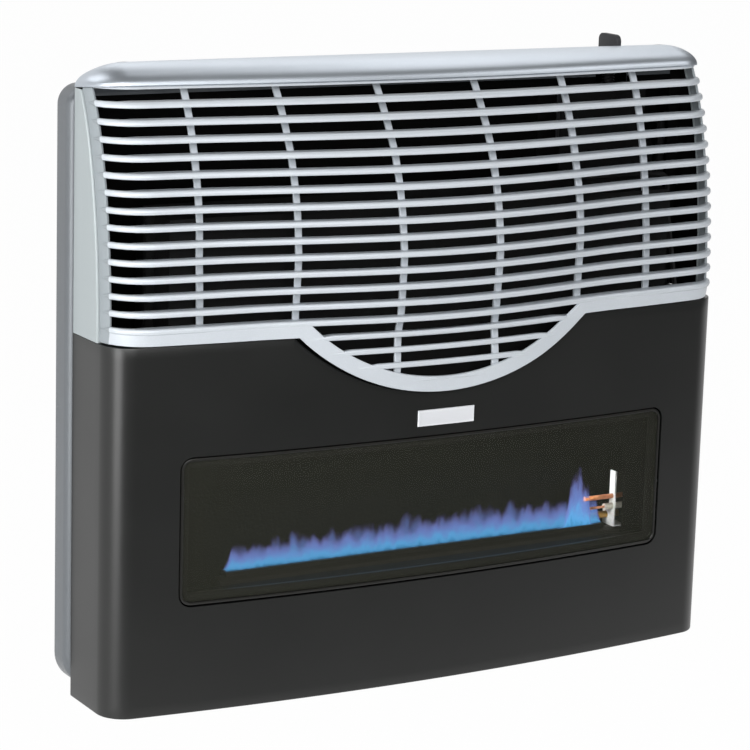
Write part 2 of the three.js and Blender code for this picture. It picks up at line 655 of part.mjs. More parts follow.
// A vertical rib behind the slats.
function rib(x, bottom) {
  const steps = 5;
  const top = GRILLE_TOP - OVERLAP;
  const levels = Array.from({ length: steps + 1 }, (_, i) => bottom + ((top - bottom) * i) / steps);
  const depthAt = (z) => {
    const plan = grillePlan(z, 90, 120);
    return -plan.reduce((best, p) => (Math.abs(p.x - x) < Math.abs(best.x - x) ? p : best)).y;
  };
  const face = (by) =>
    levels.map((z) => [x - RIB_WIDTH / 2, x + RIB_WIDTH / 2].map((rx) => [rx, -(depthAt(z) - by), z]));
  return slab(face(SLAT_DEPTH - 1), face(SLAT_DEPTH - 1 + RIB_DEPTH));
}

function frontGrille() {
  const bottom = CASE_TOP + REVEAL;
  const slotHalf = CASE_HALF - GRILLE_CORNER * (1 - Math.cos((SLOT_EDGE_ANGLE * Math.PI) / 180));
  const reach = CASE_HALF + 10;
  const lobeZ = LOBE_BOTTOM + LOBE_R;
  const heights = [LOBE_BOTTOM - 1, GRILLE_TOP];
  const keep = join(
    runBack([[-reach, bottom], [reach, bottom], [reach, GRILLE_TOP + 1], [-reach, GRILLE_TOP + 1]], frontRunGrille),
    runBack(lobeCircle(LOBE_R), frontRunGrille));
  const opening = (by) => {
    const [z0, z1] = [bottom + RAIL_HEIGHT - by, GRILLE_TOP - TOP_RAIL_HEIGHT + by];
    const half = slotHalf + by;
    return join(
      runBack([[-half, z0], [half, z0], [half, z1], [-half, z1]], frontRunGrille),
      common(runBack(lobeCircle(LOBE_R - LOBE_RIM + by), frontRunGrille),
        runBack([[-half, 0], [half, 0], [half, z1], [-half, z1]], frontRunGrille)));
  };
  const rim = cut(common(grilleSheet(RIM_RECESS, RIM_RECESS + RIM_THICK, heights), keep), opening(0));
  const wall = common(grilleSheet(RIM_RECESS, SLAT_DEPTH + RIB_DEPTH, heights), keep, cut(opening(RIM_WALL), opening(0)));
  const slats = Array.from({ length: FULL_SLATS }, (_, i) => slat(TOP_SLAT_UNDERSIDE - i * SLAT_PITCH));
  const short = Array.from({ length: LOBE_SLATS }, (_, i) => {
    const z = TOP_SLAT_UNDERSIDE - (FULL_SLATS + i) * SLAT_PITCH;
    return slat(z, Math.sqrt((LOBE_R - LOBE_RIM / 2) ** 2 - (lobeZ - z) ** 2));
  });
  const ribs = RIB_X.flatMap((x) => {
    const foot = Math.min(bottom + RAIL_HEIGHT, lobeZ - Math.sqrt(Math.max((LOBE_R - LOBE_RIM) ** 2 - x ** 2, 0)));
    return [rib(x, foot - OVERLAP), rib(-x, foot - OVERLAP)];
  });
  const underCap = runAcross([
    [-FRAME_DEPTH, CAP_LIP_REAR - GAP], [-FRAME_DEPTH - CAP_LIP_RUN, GRILLE_TOP],
    [-FRAME_DEPTH - CAP_LIP_RUN, 2 * GRILLE_TOP], [-FRAME_DEPTH, 2 * GRILLE_TOP],
  ], [-reach, reach]);
  return cut(join(rim, wall, ...slats, ...short, ...ribs), underCap);
}

const frontRunGrille = [-2 * CASE_EDGE, 0];

// The cap: a pillow whose rounded edge runs round the front and both ends.
function topCap() {
  const plan = bowedPlan({ edge: CAP_EDGE, corner: CAP_CORNER, rear: FRAME_DEPTH + GAP, bulge: CAP_BULGE, reach: BELLY_WIDE },
    16, 5);
  const lipAt = (y) => CAP_LIP_REAR + (CAP_LIP_FRONT - CAP_LIP_REAR) * Math.min(Math.max((-y - FRAME_DEPTH) / CAP_LIP_RUN, 0), 1);
  const rearY = plan[0].y;
  const crestY = rearY - CAP_LIP_RUN / 2;
  const fall = (y) => CAP_FALL * Math.max(1 - (rearY - y) / (rearY - crestY), 0) ** 2;
  const rise = (into, y, down) => {
    const t = Math.min(into / CAP_ROUND, 1);
    const base = lipAt(y);
    return base + (CAP_CREST - down - fall(y) - base) * Math.sqrt(1 - (1 - t) ** 2);
  };
  const keepRear = ([x, y]) => [x, Math.min(y, rearY)];
  const roundSteps = 5;
  const innerSteps = 2;
  const face = (wall) => {
    const rings = Array.from({ length: roundSteps + 1 }, (_, j) => {
      const into = (CAP_ROUND - wall) * (1 - Math.cos((Math.PI / 2) * (j / roundSteps)));
      return inset(plan, into + wall).map(keepRear).map(([x, y]) => [x, y, rise((into * CAP_ROUND) / (CAP_ROUND - wall), y, wall)]);
    });
    const crest = rings[roundSteps];
    const halfRear = crest[crest.length - 1][0];
    for (let k = 1; k <= innerSteps; k++) {
      const t = k / innerSteps;
      rings.push(crest.map(([x, y], i) => {
        const rearX = -halfRear + (2 * halfRear * i) / (crest.length - 1);
        const here = y + (rearY - y) * t;
        return [x + (rearX - x) * t, here, CAP_CREST - wall - fall(here)];
      }));
    }
    return rings;
  };
  const shell = slab(face(0), face(CAP_WALL));
  const notch = bar("z", KNOB_SKIRT_R + KNOB_CLEARANCE, [CAP_LIP_REAR - 10, CAP_CREST + 10], [KNOB_X, KNOB_Y], 32);
  return cut(shell, notch);
}

// ---------------------------------------------------------------- combustion chamber and flue

const CHAMBER_X = [-CHAMBER_HALF, CHAMBER_HALF];
const CHAMBER_Z = [CHAMBER_BOTTOM, CHAMBER_TOP];
const shrink = ([low, high], by) => [low + by, high - by];

const SEAL_REAR = CHAMBER_SPLIT - SEAL_THICK / 2;
const SEAL_FRONT = CHAMBER_SPLIT + SEAL_THICK / 2;

const chamberRing = (outer, inner, depths) =>
  cut(box(shrink(CHAMBER_X, -outer), depths, shrink(CHAMBER_Z, -outer)),
    box(shrink(CHAMBER_X, -inner), shrink(depths, -1), shrink(CHAMBER_Z, -inner)));

function chamberRearShell() {
  const front = -(SEAL_REAR - GAP);
  const walls = cut(box(CHAMBER_X, [front, -CHAMBER_BACK], CHAMBER_Z),
    box(shrink(CHAMBER_X, SHEET), [front - 1, -CHAMBER_BACK - SHEET], shrink(CHAMBER_Z, SHEET)));
  const flange = chamberRing(CHAMBER_FLANGE, -OVERLAP, [front, front + SHEET]);
  return cut(join(walls, flange), flueHole(AIR_COLLAR_R, [-CHAMBER_BACK - 4, -CHAMBER_BACK + 4]));
}

const chamberSeal = () =>
  chamberRing(CHAMBER_FLANGE - 1, 0, [-SEAL_FRONT, -SEAL_REAR]);

const portOutline = (by) =>
  roundedRectangle([-PORT_HALF - by, PORT_HALF + by], [PORT_BOTTOM - by, PORT_TOP + by], PORT_CORNER + by);

function chamberFrontShell() {
  const rear = -(SEAL_FRONT + GAP);
  const walls = cut(box(CHAMBER_X, [-CHAMBER_FRONT, rear], CHAMBER_Z),
    box(shrink(CHAMBER_X, SHEET), [-CHAMBER_FRONT + SHEET, rear + 1], shrink(CHAMBER_Z, SHEET)));
  const flange = chamberRing(CHAMBER_FLANGE, -OVERLAP, [rear - SHEET, rear]);
  const throatBy = REVEAL + BEZEL_WIDTH + BEZEL_LEDGE;
  const throatRun = [-2 * CASE_EDGE, -CHAMBER_FRONT + OVERLAP];
  const throat = common(
    cut(runBack(windowOutline(throatBy - THROAT_WALL), throatRun), runBack(windowOutline(throatBy), throatRun)),
    caseCore(LEDGE_BACK + GAP, [WINDOW_BOTTOM, WINDOW_TOP]));
  const access = burnerAccess([CHAMBER_HALF - 4, CHAMBER_HALF + 4]);
  const screwHoles = plateScrewPoints().map((at) => bar("x", SCREW_R + 0.4, [CHAMBER_HALF - 4, CHAMBER_HALF + 4], at, 10));
  const port = runBack(portOutline(0), [-CHAMBER_FRONT - 1, -CHAMBER_FRONT + SHEET + 1]);
  return cut(join(walls, flange, throat), port, access, ...screwHoles);
}

function bafflePlate() {
  const y = [-BAFFLE_DEPTH - SHEET, -BAFFLE_DEPTH];
  const z = [BAFFLE_BOTTOM, CHAMBER_TOP - SHEET - GAP];
  const plate = box(shrink(CHAMBER_X, SHEET + GAP), y, z);
  return cut(plate, flueHole(EXHAUST_R - FLUE_WALL, [y[0] - 1, y[1] + 1]));
}

function exhaustSpigot() {
  const tubeY = [-BAFFLE_DEPTH + GAP, -SHEET - GAP];
  const pipeWall = tube("y", EXHAUST_R, EXHAUST_R - FLUE_WALL, tubeY, [0, FLUE_HEIGHT], FLUE_SIDES);
  const flange = tube("y", EXHAUST_R + FLUE_FLANGE, EXHAUST_R - FLUE_WALL, [tubeY[0], tubeY[0] + SHEET], [0, FLUE_HEIGHT], FLUE_SIDES);
  return join(pipeWall, flange);
}

function airCollar() {
  const y = [-CHAMBER_BACK + GAP, -SHEET - GAP];
  const at = [0, FLUE_HEIGHT];
  const wall = tube("y", AIR_COLLAR_R + FLUE_WALL, AIR_COLLAR_R, y, at, FLUE_SIDES);
  const rings = [[y[0], y[0] + SHEET], [y[1] - SHEET, y[1]]].map((span) =>
    tube("y", AIR_COLLAR_R + FLUE_FLANGE, AIR_COLLAR_R, span, at, FLUE_SIDES));
  return join(wall, ...rings);
}

// A channel that carries the chamber on the rear frame.
function chamberBracket(side) {
  const x = side * BRACKET_X;
  const y = [-CHAMBER_BACK + GAP, -SHEET - GAP];
  const z = [BRACKET_BOTTOM, BRACKET_TOP];
  const web = box([x - SHEET / 2, x + SHEET / 2], y, z);
  const feet = [[y[0], y[0] + SHEET], [y[1] - SHEET, y[1]]].map((span) =>
    box([x - BRACKET_WIDTH / 2, x + BRACKET_WIDTH / 2], span, z));
  return join(web, ...feet);
}

// ---------------------------------------------------------------- burner and pilot

const burnerAt = [BURNER_Y, BURNER_Z];

function burnerTube() {
  const outer = bar("x", BURNER_R, [BURNER_LEFT, BURNER_RIGHT], burnerAt);
  const bore = bar("x", BURNER_R - BURNER_WALL, [BURNER_LEFT + BURNER_WALL, BURNER_RIGHT + 1], burnerAt);
  const slot = box([STRIP_LEFT + 4, STRIP_RIGHT - 4], [BURNER_Y - 3, BURNER_Y + 3], [BURNER_Z, BURNER_Z + 2 * BURNER_R]);
  return cut(outer, bore, slot);
}

const STRIP_TOP = BURNER_Z + BURNER_R + GAP + STRIP_HEIGHT;

function burnerPortStrip() {
  const bottom = BURNER_Z + BURNER_R + GAP;
  const bar_ = box([STRIP_LEFT, STRIP_RIGHT], [BURNER_Y - STRIP_WIDTH / 2, BURNER_Y + STRIP_WIDTH / 2], [bottom, STRIP_TOP]);
  const pitch = (STRIP_RIGHT - STRIP_LEFT) / (PORT_SLOTS + 1);
  const slots = Array.from({ length: PORT_SLOTS }, (_, i) => {
    const x = STRIP_LEFT + pitch * (i + 1);
    return box([x - PORT_SLOT_WIDTH / 2, x + PORT_SLOT_WIDTH / 2], [BURNER_Y - 4, BURNER_Y + 4], [bottom - 1, STRIP_TOP + 1]);
  });
  return cut(bar_, ...slots);
}

function burnerSaddle() {
  const floor = CHAMBER_BOTTOM + SHEET + GAP;
  const block = box([SADDLE_X - SADDLE_WIDTH / 2, SADDLE_X + SADDLE_WIDTH / 2], [BURNER_Y - BURNER_R, BURNER_Y + BURNER_R],
    [floor, BURNER_Z - BURNER_R / 2]);
  const bed = bar("x", BURNER_R + GAP, [SADDLE_X - SADDLE_WIDTH, SADDLE_X + SADDLE_WIDTH], burnerAt, 32);
  const relief = box([SADDLE_X - SADDLE_WIDTH / 2 + SHEET, SADDLE_X + SADDLE_WIDTH], [BURNER_Y - BURNER_R - 1, BURNER_Y + BURNER_R + 1],
    [floor + SHEET, BURNER_Z]);
  return cut(block, bed, relief);
}

function plateScrewPoints() {
  const ys = [-PLATE_FRONT + PLATE_SCREW_INSET, -PLATE_REAR - PLATE_SCREW_INSET];
  const zs = [PLATE_BOTTOM + PLATE_SCREW_INSET, PLATE_TOP - PLATE_SCREW_INSET];
  return ys.flatMap((y) => zs.map((z) => [y, z]));
}

// The opening in the chamber's side that the burner is slid in through.
const burnerAccess = (x) =>
  box(x, [-PLATE_FRONT + PLATE_RIM, -PLATE_REAR - PLATE_RIM],
    [PLATE_BOTTOM + 2 * PLATE_SCREW_INSET, PLATE_TOP - 2 * PLATE_SCREW_INSET]);

const PLATE_GASKET_X = [CHAMBER_HALF + GAP, CHAMBER_HALF + GAP + GASKET_SHEET];
const PLATE_X = [PLATE_GASKET_X[1] + GAP, PLATE_GASKET_X[1] + GAP + SHEET];

const throughPlate = () => [
  bar("x", BURNER_R + GAP, [CHAMBER_HALF - 5, PLATE_X[1] + 5], burnerAt, 32),
  bar("x", PILOT_PIPE_R + 1, [CHAMBER_HALF - 5, PLATE_X[1] + 5], [PILOT_Y, PILOT_Z], 12),
  bar("x", THERMO_LEAD_R + 1, [CHAMBER_HALF - 5, PLATE_X[1] + 5], [ROD_Y, THERMOCOUPLE_Z], 12),
  bar("x", IGNITION_LEAD_R + 1, [CHAMBER_HALF - 5, PLATE_X[1] + 5], [ROD_Y, ELECTRODE_Z], 12),
];

function burnerPlate() {
  const plate = box(PLATE_X, [-PLATE_FRONT, -PLATE_REAR], [PLATE_BOTTOM, PLATE_TOP]);
  const holes = plateScrewPoints().map((at) => bar("x", SCREW_R + GAP, [PLATE_X[0] - 1, PLATE_X[1] + 1], at, 12));
  return cut(plate, ...throughPlate(), ...holes);
}

function burnerPlateGasket() {
  const sheet = box(PLATE_GASKET_X, [-PLATE_FRONT, -PLATE_REAR], [PLATE_BOTTOM, PLATE_TOP]);
  const open = burnerAccess([CHAMBER_HALF - 1, PLATE_X[1]]);
  const holes = plateScrewPoints().map((at) => bar("x", SCREW_R + GAP, [PLATE_GASKET_X[0] - 1, PLATE_GASKET_X[1] + 1], at, 12));
  return cut(sheet, open, ...holes);
}

function plateScrew(at) {
  const shank = bar("x", SCREW_R, [CHAMBER_HALF - SHEET, PLATE_X[1] + GAP + OVERLAP], at, 10);
  const head = bar("x", SCREW_HEAD_R, [PLATE_X[1] + GAP, PLATE_X[1] + GAP + SCREW_HEAD], at, 12);
  return join(shank, head);
}

const INJECTOR_X = [BURNER_RIGHT - 4, BURNER_RIGHT - 4 + INJECTOR_LENGTH];
const INJECTOR_INLET_AT = [INJECTOR_X[1] - INJECTOR_INLET_BACK, BURNER_Y];

function injector() {
  const nozzle = bar("x", INJECTOR_R - 2, [INJECTOR_X[0], INJECTOR_X[0] + 8], burnerAt, 12);
  const holder = bar("x", INJECTOR_R, [INJECTOR_X[0] + 7, INJECTOR_X[1]], burnerAt, 6);
  const inlet = bar("z", BURNER_PIPE_R + 2, [BURNER_Z, BURNER_Z + INJECTOR_INLET], INJECTOR_INLET_AT, 12);
  return join(nozzle, holder, inlet);
}

// The carrier of the injector, a bridge from the burner plate.
function injectorBridge() {
  const x0 = PLATE_X[1] + GAP;
  const top = BURNER_Z - BURNER_R - 1.5;
  const shelf = box([x0, INJECTOR_X[1]], [BURNER_Y - BRIDGE_HALF, BURNER_Y + BRIDGE_HALF], [top - SHEET, top]);
  const foot = box([x0, x0 + SHEET], [BURNER_Y - BRIDGE_HALF, BURNER_Y + BRIDGE_HALF], [PLATE_BOTTOM + 1, top]);
  const rise = box([INJECTOR_X[1] - 8, INJECTOR_X[1] - 3], [BURNER_Y - BRIDGE_HALF, BURNER_Y + BRIDGE_HALF], [top - OVERLAP, BURNER_Z]);
  const bed = bar("x", INJECTOR_R + GAP, [x0, INJECTOR_X[1] + 1], burnerAt, 24);
  return cut(join(shelf, foot, rise), bed);
}

function pilotBracket() {
  const x = [PILOT_PLATE_X, PILOT_PLATE_X + SHEET];
  const foot = BURNER_Z + BURNER_R + GAP;
  const low = box(x, [-PILOT_FRONT, -PILOT_REAR], [foot, PILOT_PLATE_STEP]);
  const high = box(x, [-PILOT_FRONT, -PILOT_STEP_REAR], [PILOT_PLATE_STEP - OVERLAP, PILOT_PLATE_TOP]);
  const base = box([PILOT_PLATE_X, PILOT_PLATE_X + 12], [-PILOT_FRONT, -PILOT_REAR], [foot, foot + SHEET]);
  const through = (r, at) => bar("x", r + GAP, [x[0] - 1, x[1] + 1], at, 16);
  return cut(join(low, high, base), through(PILOT_R, [PILOT_Y, PILOT_Z]), through(THERMOCOUPLE_R, [ROD_Y, THERMOCOUPLE_Z]),
    through(CERAMIC_R, [ROD_Y, ELECTRODE_Z]));
}

const PILOT_END_X = PILOT_PLATE_X + 14;

function pilotBurner() {
  const barrel = bar("x", PILOT_R, [PILOT_TIP_X, PILOT_END_X], [PILOT_Y, PILOT_Z], 12);
  const hood = bar("z", PILOT_R, [PILOT_Z, PILOT_Z + 7], [PILOT_TIP_X + PILOT_R, PILOT_Y], 12);
  return cut(join(barrel, hood), bar("z", PILOT_R - 1.2, [PILOT_Z, PILOT_Z + 8], [PILOT_TIP_X + PILOT_R, PILOT_Y], 12));
}

const thermocouple = () => bar("x", THERMOCOUPLE_R, [THERMOCOUPLE_TIP_X, PILOT_END_X], [ROD_Y, THERMOCOUPLE_Z], 12);

const electrodeCeramic = () =>
  tube("x", CERAMIC_R, ELECTRODE_R + GAP, [CERAMIC_TIP_X, PILOT_END_X], [ROD_Y, ELECTRODE_Z], 12);

const sparkElectrode = () => bar("x", ELECTRODE_R, [ELECTRODE_TIP_X, PILOT_END_X], [ROD_Y, ELECTRODE_Z], 12);

// ---------------------------------------------------------------- valve, knob and igniter

const knobAt = [KNOB_X, KNOB_Y];
const igniterAt = [IGNITER_X, IGNITER_Y];
const VALVE_REAR = 2 * SHEET + 2 * GAP;
const CONTROL_PLATE_Z = FRAME_TOP - FRAME_LIP - FRAME_SEAT - 2 * SHEET;
const SUPPLY_PORT = [UNION_Y, VALVE_BOTTOM + 13];
const BURNER_PORT = [-VALVE_FRONT + 9, VALVE_BOTTOM + 38];

function gasValveBody() {
  const block = box([VALVE_LEFT, VALVE_RIGHT], [-VALVE_FRONT, -VALVE_REAR], [VALVE_BOTTOM, VALVE_TOP]);
  const bonnet = bar("z", BONNET_R, [VALVE_TOP - OVERLAP, BONNET_TOP], knobAt);
  const ports = [SUPPLY_PORT, BURNER_PORT].map((at) => bar("x", PORT_BOSS_R, [VALVE_RIGHT - OVERLAP, VALVE_RIGHT + PORT_BOSS], at, 6));
  return cut(join(block, bonnet, ...ports), bar("z", SLEEVE_R + GAP, [BONNET_FLOOR, BONNET_TOP + 1], knobAt));
}

const valveSleeve = () => tube("z", SLEEVE_R, SPINDLE_R + GAP, [BONNET_FLOOR + GAP, SLEEVE_TOP], knobAt);

const SPINDLE_TOP = KNOB_UNDERSIDE + KNOB_SKIRT;
const valveSpindle = () => bar("z", SPINDLE_R, [SPINDLE_BOTTOM, SPINDLE_TOP], knobAt);

function controlKnob() {
  const skirtTop = KNOB_UNDERSIDE + KNOB_SKIRT;
  const skirt = bar("z", KNOB_SKIRT_R, [KNOB_UNDERSIDE, skirtTop], knobAt, 36);
  const hub = bar("z", KNOB_HUB_R, [KNOB_UNDERSIDE - KNOB_HUB, KNOB_UNDERSIDE + OVERLAP], knobAt);
  const half = BLADE_LENGTH / 2;
  const corner = (sign) =>
    Array.from({ length: 5 }, (_, i) => {
      const a = ((Math.PI / 2) * i) / 4;
      return [KNOB_Y + sign * (half - BLADE_CORNER + BLADE_CORNER * Math.cos(a)), KNOB_TOP - BLADE_CORNER + BLADE_CORNER * Math.sin(a)];
    });
  const outline = [[KNOB_Y - half, skirtTop - OVERLAP], ...corner(-1), ...corner(1).reverse(), [KNOB_Y + half, skirtTop - OVERLAP]];
  const blade = runAcross(outline, [KNOB_X - BLADE_WIDTH / 2, KNOB_X + BLADE_WIDTH / 2]);
  const core = bar("z", KNOB_HUB_R, [skirtTop - OVERLAP, skirtTop + 4], knobAt);
  const bore = bar("z", SPINDLE_R + GAP, [KNOB_UNDERSIDE - KNOB_HUB - 1, SPINDLE_TOP + GAP], knobAt);
  return cut(join(skirt, hub, blade, core), bore);
}

const knobSpring = () =>
  tube("z", SPINDLE_R + 1 + SPRING_WALL, SPINDLE_R + 1, [SLEEVE_TOP + GAP, KNOB_UNDERSIDE - KNOB_HUB - GAP], knobAt, 16);

function controlBracket() {
  const x = [CONTROL_PLATE_LEFT, CONTROL_PLATE_RIGHT];
  const rear = -SHEET - GAP;
  const back = box(x, [rear - SHEET, rear], [CONTROL_PLATE_BOTTOM, CONTROL_PLATE_Z + SHEET]);
  const top = box(x, [-CONTROL_PLATE_FRONT, rear], [CONTROL_PLATE_Z, CONTROL_PLATE_Z + SHEET]);
  const shield = box(x, [-CONTROL_PLATE_FRONT, SHEET - CONTROL_PLATE_FRONT], [CONTROL_PLATE_BOTTOM, CONTROL_PLATE_Z + SHEET]);
  const knobHole = bar("z", SLEEVE_R + 2, [CONTROL_PLATE_Z - 1, CONTROL_PLATE_Z + SHEET + 1], knobAt);
  const igniterHole = bar("z", IGNITER_R + GAP, [CONTROL_PLATE_Z - 1, CONTROL_PLATE_Z + SHEET + 1], igniterAt);
  return cut(join(back, top, shield), knobHole, igniterHole);
}

function igniterBody() {
  const barrel = bar("z", IGNITER_R, [IGNITER_BOTTOM, IGNITER_TOP], igniterAt);
  const top = CONTROL_PLATE_Z - GAP;
  const collar = bar("z", IGNITER_COLLAR_R - 2, [top - IGNITER_COLLAR, top], igniterAt, 6);
  return cut(join(barrel, collar), bar("z", BUTTON_R + GAP, [IGNITER_FLOOR, IGNITER_TOP + 1], igniterAt));
}

function igniterButton() {
  const stem = bar("z", BUTTON_R, [BUTTON_BOTTOM, BUTTON_CAP_BOTTOM + OVERLAP], igniterAt);
  const cap = bar("z", BUTTON_CAP_R, [BUTTON_CAP_BOTTOM, BUTTON_TOP - 1], igniterAt);
  const crown = bar("z", BUTTON_CAP_R - 1, [BUTTON_TOP - 1 - OVERLAP, BUTTON_TOP], igniterAt);
  return join(stem, cap, crown);
}

const igniterSpring = () =>
  tube("z", BUTTON_R - 0.5, BUTTON_R - 0.5 - SPRING_WALL, [IGNITER_FLOOR + GAP, BUTTON_BOTTOM - GAP], igniterAt, 16);

// ---------------------------------------------------------------- pipes and leads

function gasInletUnion() {
  const at = [UNION_X, UNION_Y];
  const body = bar("z", UNION_R, [UNION_BOTTOM, UNION_TOP], at, 16);
  const hex = bar("z", UNION_HEX_R, [UNION_BOTTOM + 4, UNION_HEX_TOP], at, 6);
  return cut(join(body, hex), bar("z", UNION_BORE_R, [UNION_BOTTOM - 1, UNION_TOP - 6], at, 16));
}

const gasSupplyPipe = () =>
  pipe([
    [UNION_X, UNION_Y, UNION_TOP + GAP], [UNION_X, UNION_Y, SUPPLY_PORT[1]],
    [VALVE_RIGHT + PORT_BOSS + GAP, ...SUPPLY_PORT],
  ], SUPPLY_R, 14);

const burnerSupplyPipe = () => {
  const x = INJECTOR_INLET_AT[0];
  return pipe([
    [...INJECTOR_INLET_AT, BURNER_Z + INJECTOR_INLET + GAP], [x, BURNER_Y, SUPPLY_BEND_LOW],
    [x, BURNER_PORT[0], SUPPLY_BEND_HIGH], [x, ...BURNER_PORT], [VALVE_RIGHT + PORT_BOSS + GAP, ...BURNER_PORT],
  ], BURNER_PIPE_R, 12);
};

const LEAD_LEVEL = CHAMBER_TOP + 8;

const pilotPipe = () => {
  const [x, y] = PILOT_PORT;
  return pipe([
    [PILOT_END_X + GAP, PILOT_Y, PILOT_Z], [PILOT_RUN_X, PILOT_Y, PILOT_Z], [PILOT_RUN_X, PILOT_Y, LEAD_BEND_LOW],
    [PILOT_RUN_X, y, LEAD_BEND_HIGH], [PILOT_RUN_X, y, LEAD_LEVEL], [x, y, LEAD_LEVEL], [x, y, VALVE_BOTTOM - GAP],
  ], PILOT_PIPE_R, 8, 6);
};

const thermocoupleLead = () => {
  const [x, y] = THERMO_PORT;
  return pipe([
    [PILOT_END_X + GAP, ROD_Y, THERMOCOUPLE_Z], [THERMO_RUN_X, ROD_Y, THERMOCOUPLE_Z], [THERMO_RUN_X, ROD_Y, LEAD_BEND_LOW],
    [THERMO_RUN_X, y, LEAD_BEND_HIGH], [THERMO_RUN_X, y, LEAD_LEVEL], [x, y, LEAD_LEVEL], [x, y, VALVE_BOTTOM - GAP],
  ], THERMO_LEAD_R, 6, 6);
};

const ignitionLead = () => {
  const [x, y] = [IGNITION_RUN_X, IGNITION_CROSSING];
  return pipe([
    [PILOT_END_X + GAP, ROD_Y, ELECTRODE_Z], [x, ROD_Y, ELECTRODE_Z], [x, ROD_Y, LEAD_BEND_LOW], [x, y, LEAD_BEND_HIGH],
    [x, y, LEAD_LEVEL], [IGNITER_X, y, LEAD_LEVEL], [...igniterAt, LEAD_LEVEL], [...igniterAt, IGNITER_BOTTOM - GAP],
  ], IGNITION_LEAD_R, 12, 6);
};

// ---------------------------------------------------------------- assembly

const heater = new THREE.Group();
heater.position.z = -WALL_POINT_HEIGHT;

function place(name, shape, material, parent = heater) {
  const m = shape.getMesh();
  const g = new THREE.BufferGeometry();
  g.setAttribute("position", new THREE.BufferAttribute(new Float32Array(m.vertProperties), 3));
  g.setIndex(new THREE.BufferAttribute(new Uint32Array(m.triVerts), 1));
  g.computeVertexNormals();
  const mesh = new THREE.Mesh(g, material);
  mesh.name = name;
  parent.add(mesh);
}

const group = () => {
  const g = new THREE.Group();
  heater.add(g);
  return g;
};

const body = group();
place("rear_frame", rearFrame(), FINISH.frame, body);
place("wall_plate", wallPlate(), FINISH.frame, body);
place("front_casing", frontCasing(), FINISH.charcoal, body);
place("left_cheek", cheek(-1), FINISH.cheek, body);
place("right_cheek", cheek(1), FINISH.cheek, body);
place("front_grille", frontGrille(), FINISH.silver, body);
place("top_cap", topCap(), FINISH.capSilver, body);
place("badge_plate", badgePlate(), FINISH.badge, body);

const window_ = group();
place("window_bezel", windowBezel(), FINISH.black, window_);
place("window_glass", windowGlass(), FINISH.glass, window_);
place("window_gasket", windowGasket(), FINISH.seal, window_);

const chamber = group();
place("chamber_rear_shell", chamberRearShell(), FINISH.black, chamber);
place("chamber_seal", chamberSeal(), FINISH.seal, chamber);
place("chamber_front_shell", chamberFrontShell(), FINISH.black, chamber);
place("baffle_plate", bafflePlate(), FINISH.black, chamber);
place("exhaust_spigot", exhaustSpigot(), FINISH.steel, chamber);
place("air_collar", airCollar(), FINISH.steel, chamber);
place("left_chamber_bracket", chamberBracket(-1), FINISH.steel, chamber);
place("right_chamber_bracket", chamberBracket(1), FINISH.steel, chamber);

const burner = group();
place("burner_tube", burnerTube(), FINISH.steel, burner);
place("burner_port_strip", burnerPortStrip(), FINISH.steel, burner);
place("burner_saddle", burnerSaddle(), FINISH.steel, burner);
place("burner_plate", burnerPlate(), FINISH.steel, burner);
place("burner_plate_gasket", burnerPlateGasket(), FINISH.seal, burner);
plateScrewPoints().forEach((at, i) => place(`burner_plate_screw_${i + 1}`, plateScrew(at), FINISH.steel, burner));
place("injector", injector(), FINISH.brass, burner);
place("injector_bridge", injectorBridge(), FINISH.steel, burner);
place("pilot_bracket", pilotBracket(), FINISH.steel, burner);
place("pilot_burner", pilotBurner(), FINISH.brass, burner);
place("thermocouple", thermocouple(), FINISH.copper, burner);
place("electrode_ceramic", electrodeCeramic(), FINISH.ceramic, burner);
place("spark_electrode", sparkElectrode(), FINISH.copper, burner);

const controls = group();
place("control_bracket", controlBracket(), FINISH.black, controls);
place("gas_valve_body", gasValveBody(), FINISH.steel, controls);
place("valve_sleeve", valveSleeve(), FINISH.brass, controls);
place("valve_spindle", valveSpindle(), FINISH.steel, controls);
place("knob_spring", knobSpring(), FINISH.steel, controls);
place("control_knob", controlKnob(), FINISH.knob, controls);
place("igniter_body", igniterBody(), FINISH.knob, controls);
place("igniter_button", igniterButton(), FINISH.knob, controls);
place("igniter_spring", igniterSpring(), FINISH.steel, controls);

const pipes = group();
place("gas_inlet_union", gasInletUnion(), FINISH.brass, pipes);
place("gas_supply_pipe", gasSupplyPipe(), FINISH.black, pipes);
place("burner_supply_pipe", burnerSupplyPipe(), FINISH.black, pipes);
place("pilot_pipe", pilotPipe(), FINISH.steel, pipes);
place("thermocouple_lead", thermocoupleLead(), FINISH.copper, pipes);
place("ignition_lead", ignitionLead(), FINISH.seal, pipes);

export default heater;
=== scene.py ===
"""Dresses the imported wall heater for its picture: paints, metals, glass, flame, fine forms and a studio.

Sizes are written in millimetres from the lower edge of the front casing, with the wall at y = 0, and are
turned into the frame's metres in one place, `to_frame`.
"""

import logging
import math
from dataclasses import dataclass, field
from enum import Enum
from functools import lru_cache
from typing import Any, Callable, Optional, Protocol, Sequence

import bmesh
import bpy
import numpy as np
from mathutils import Matrix, Vector


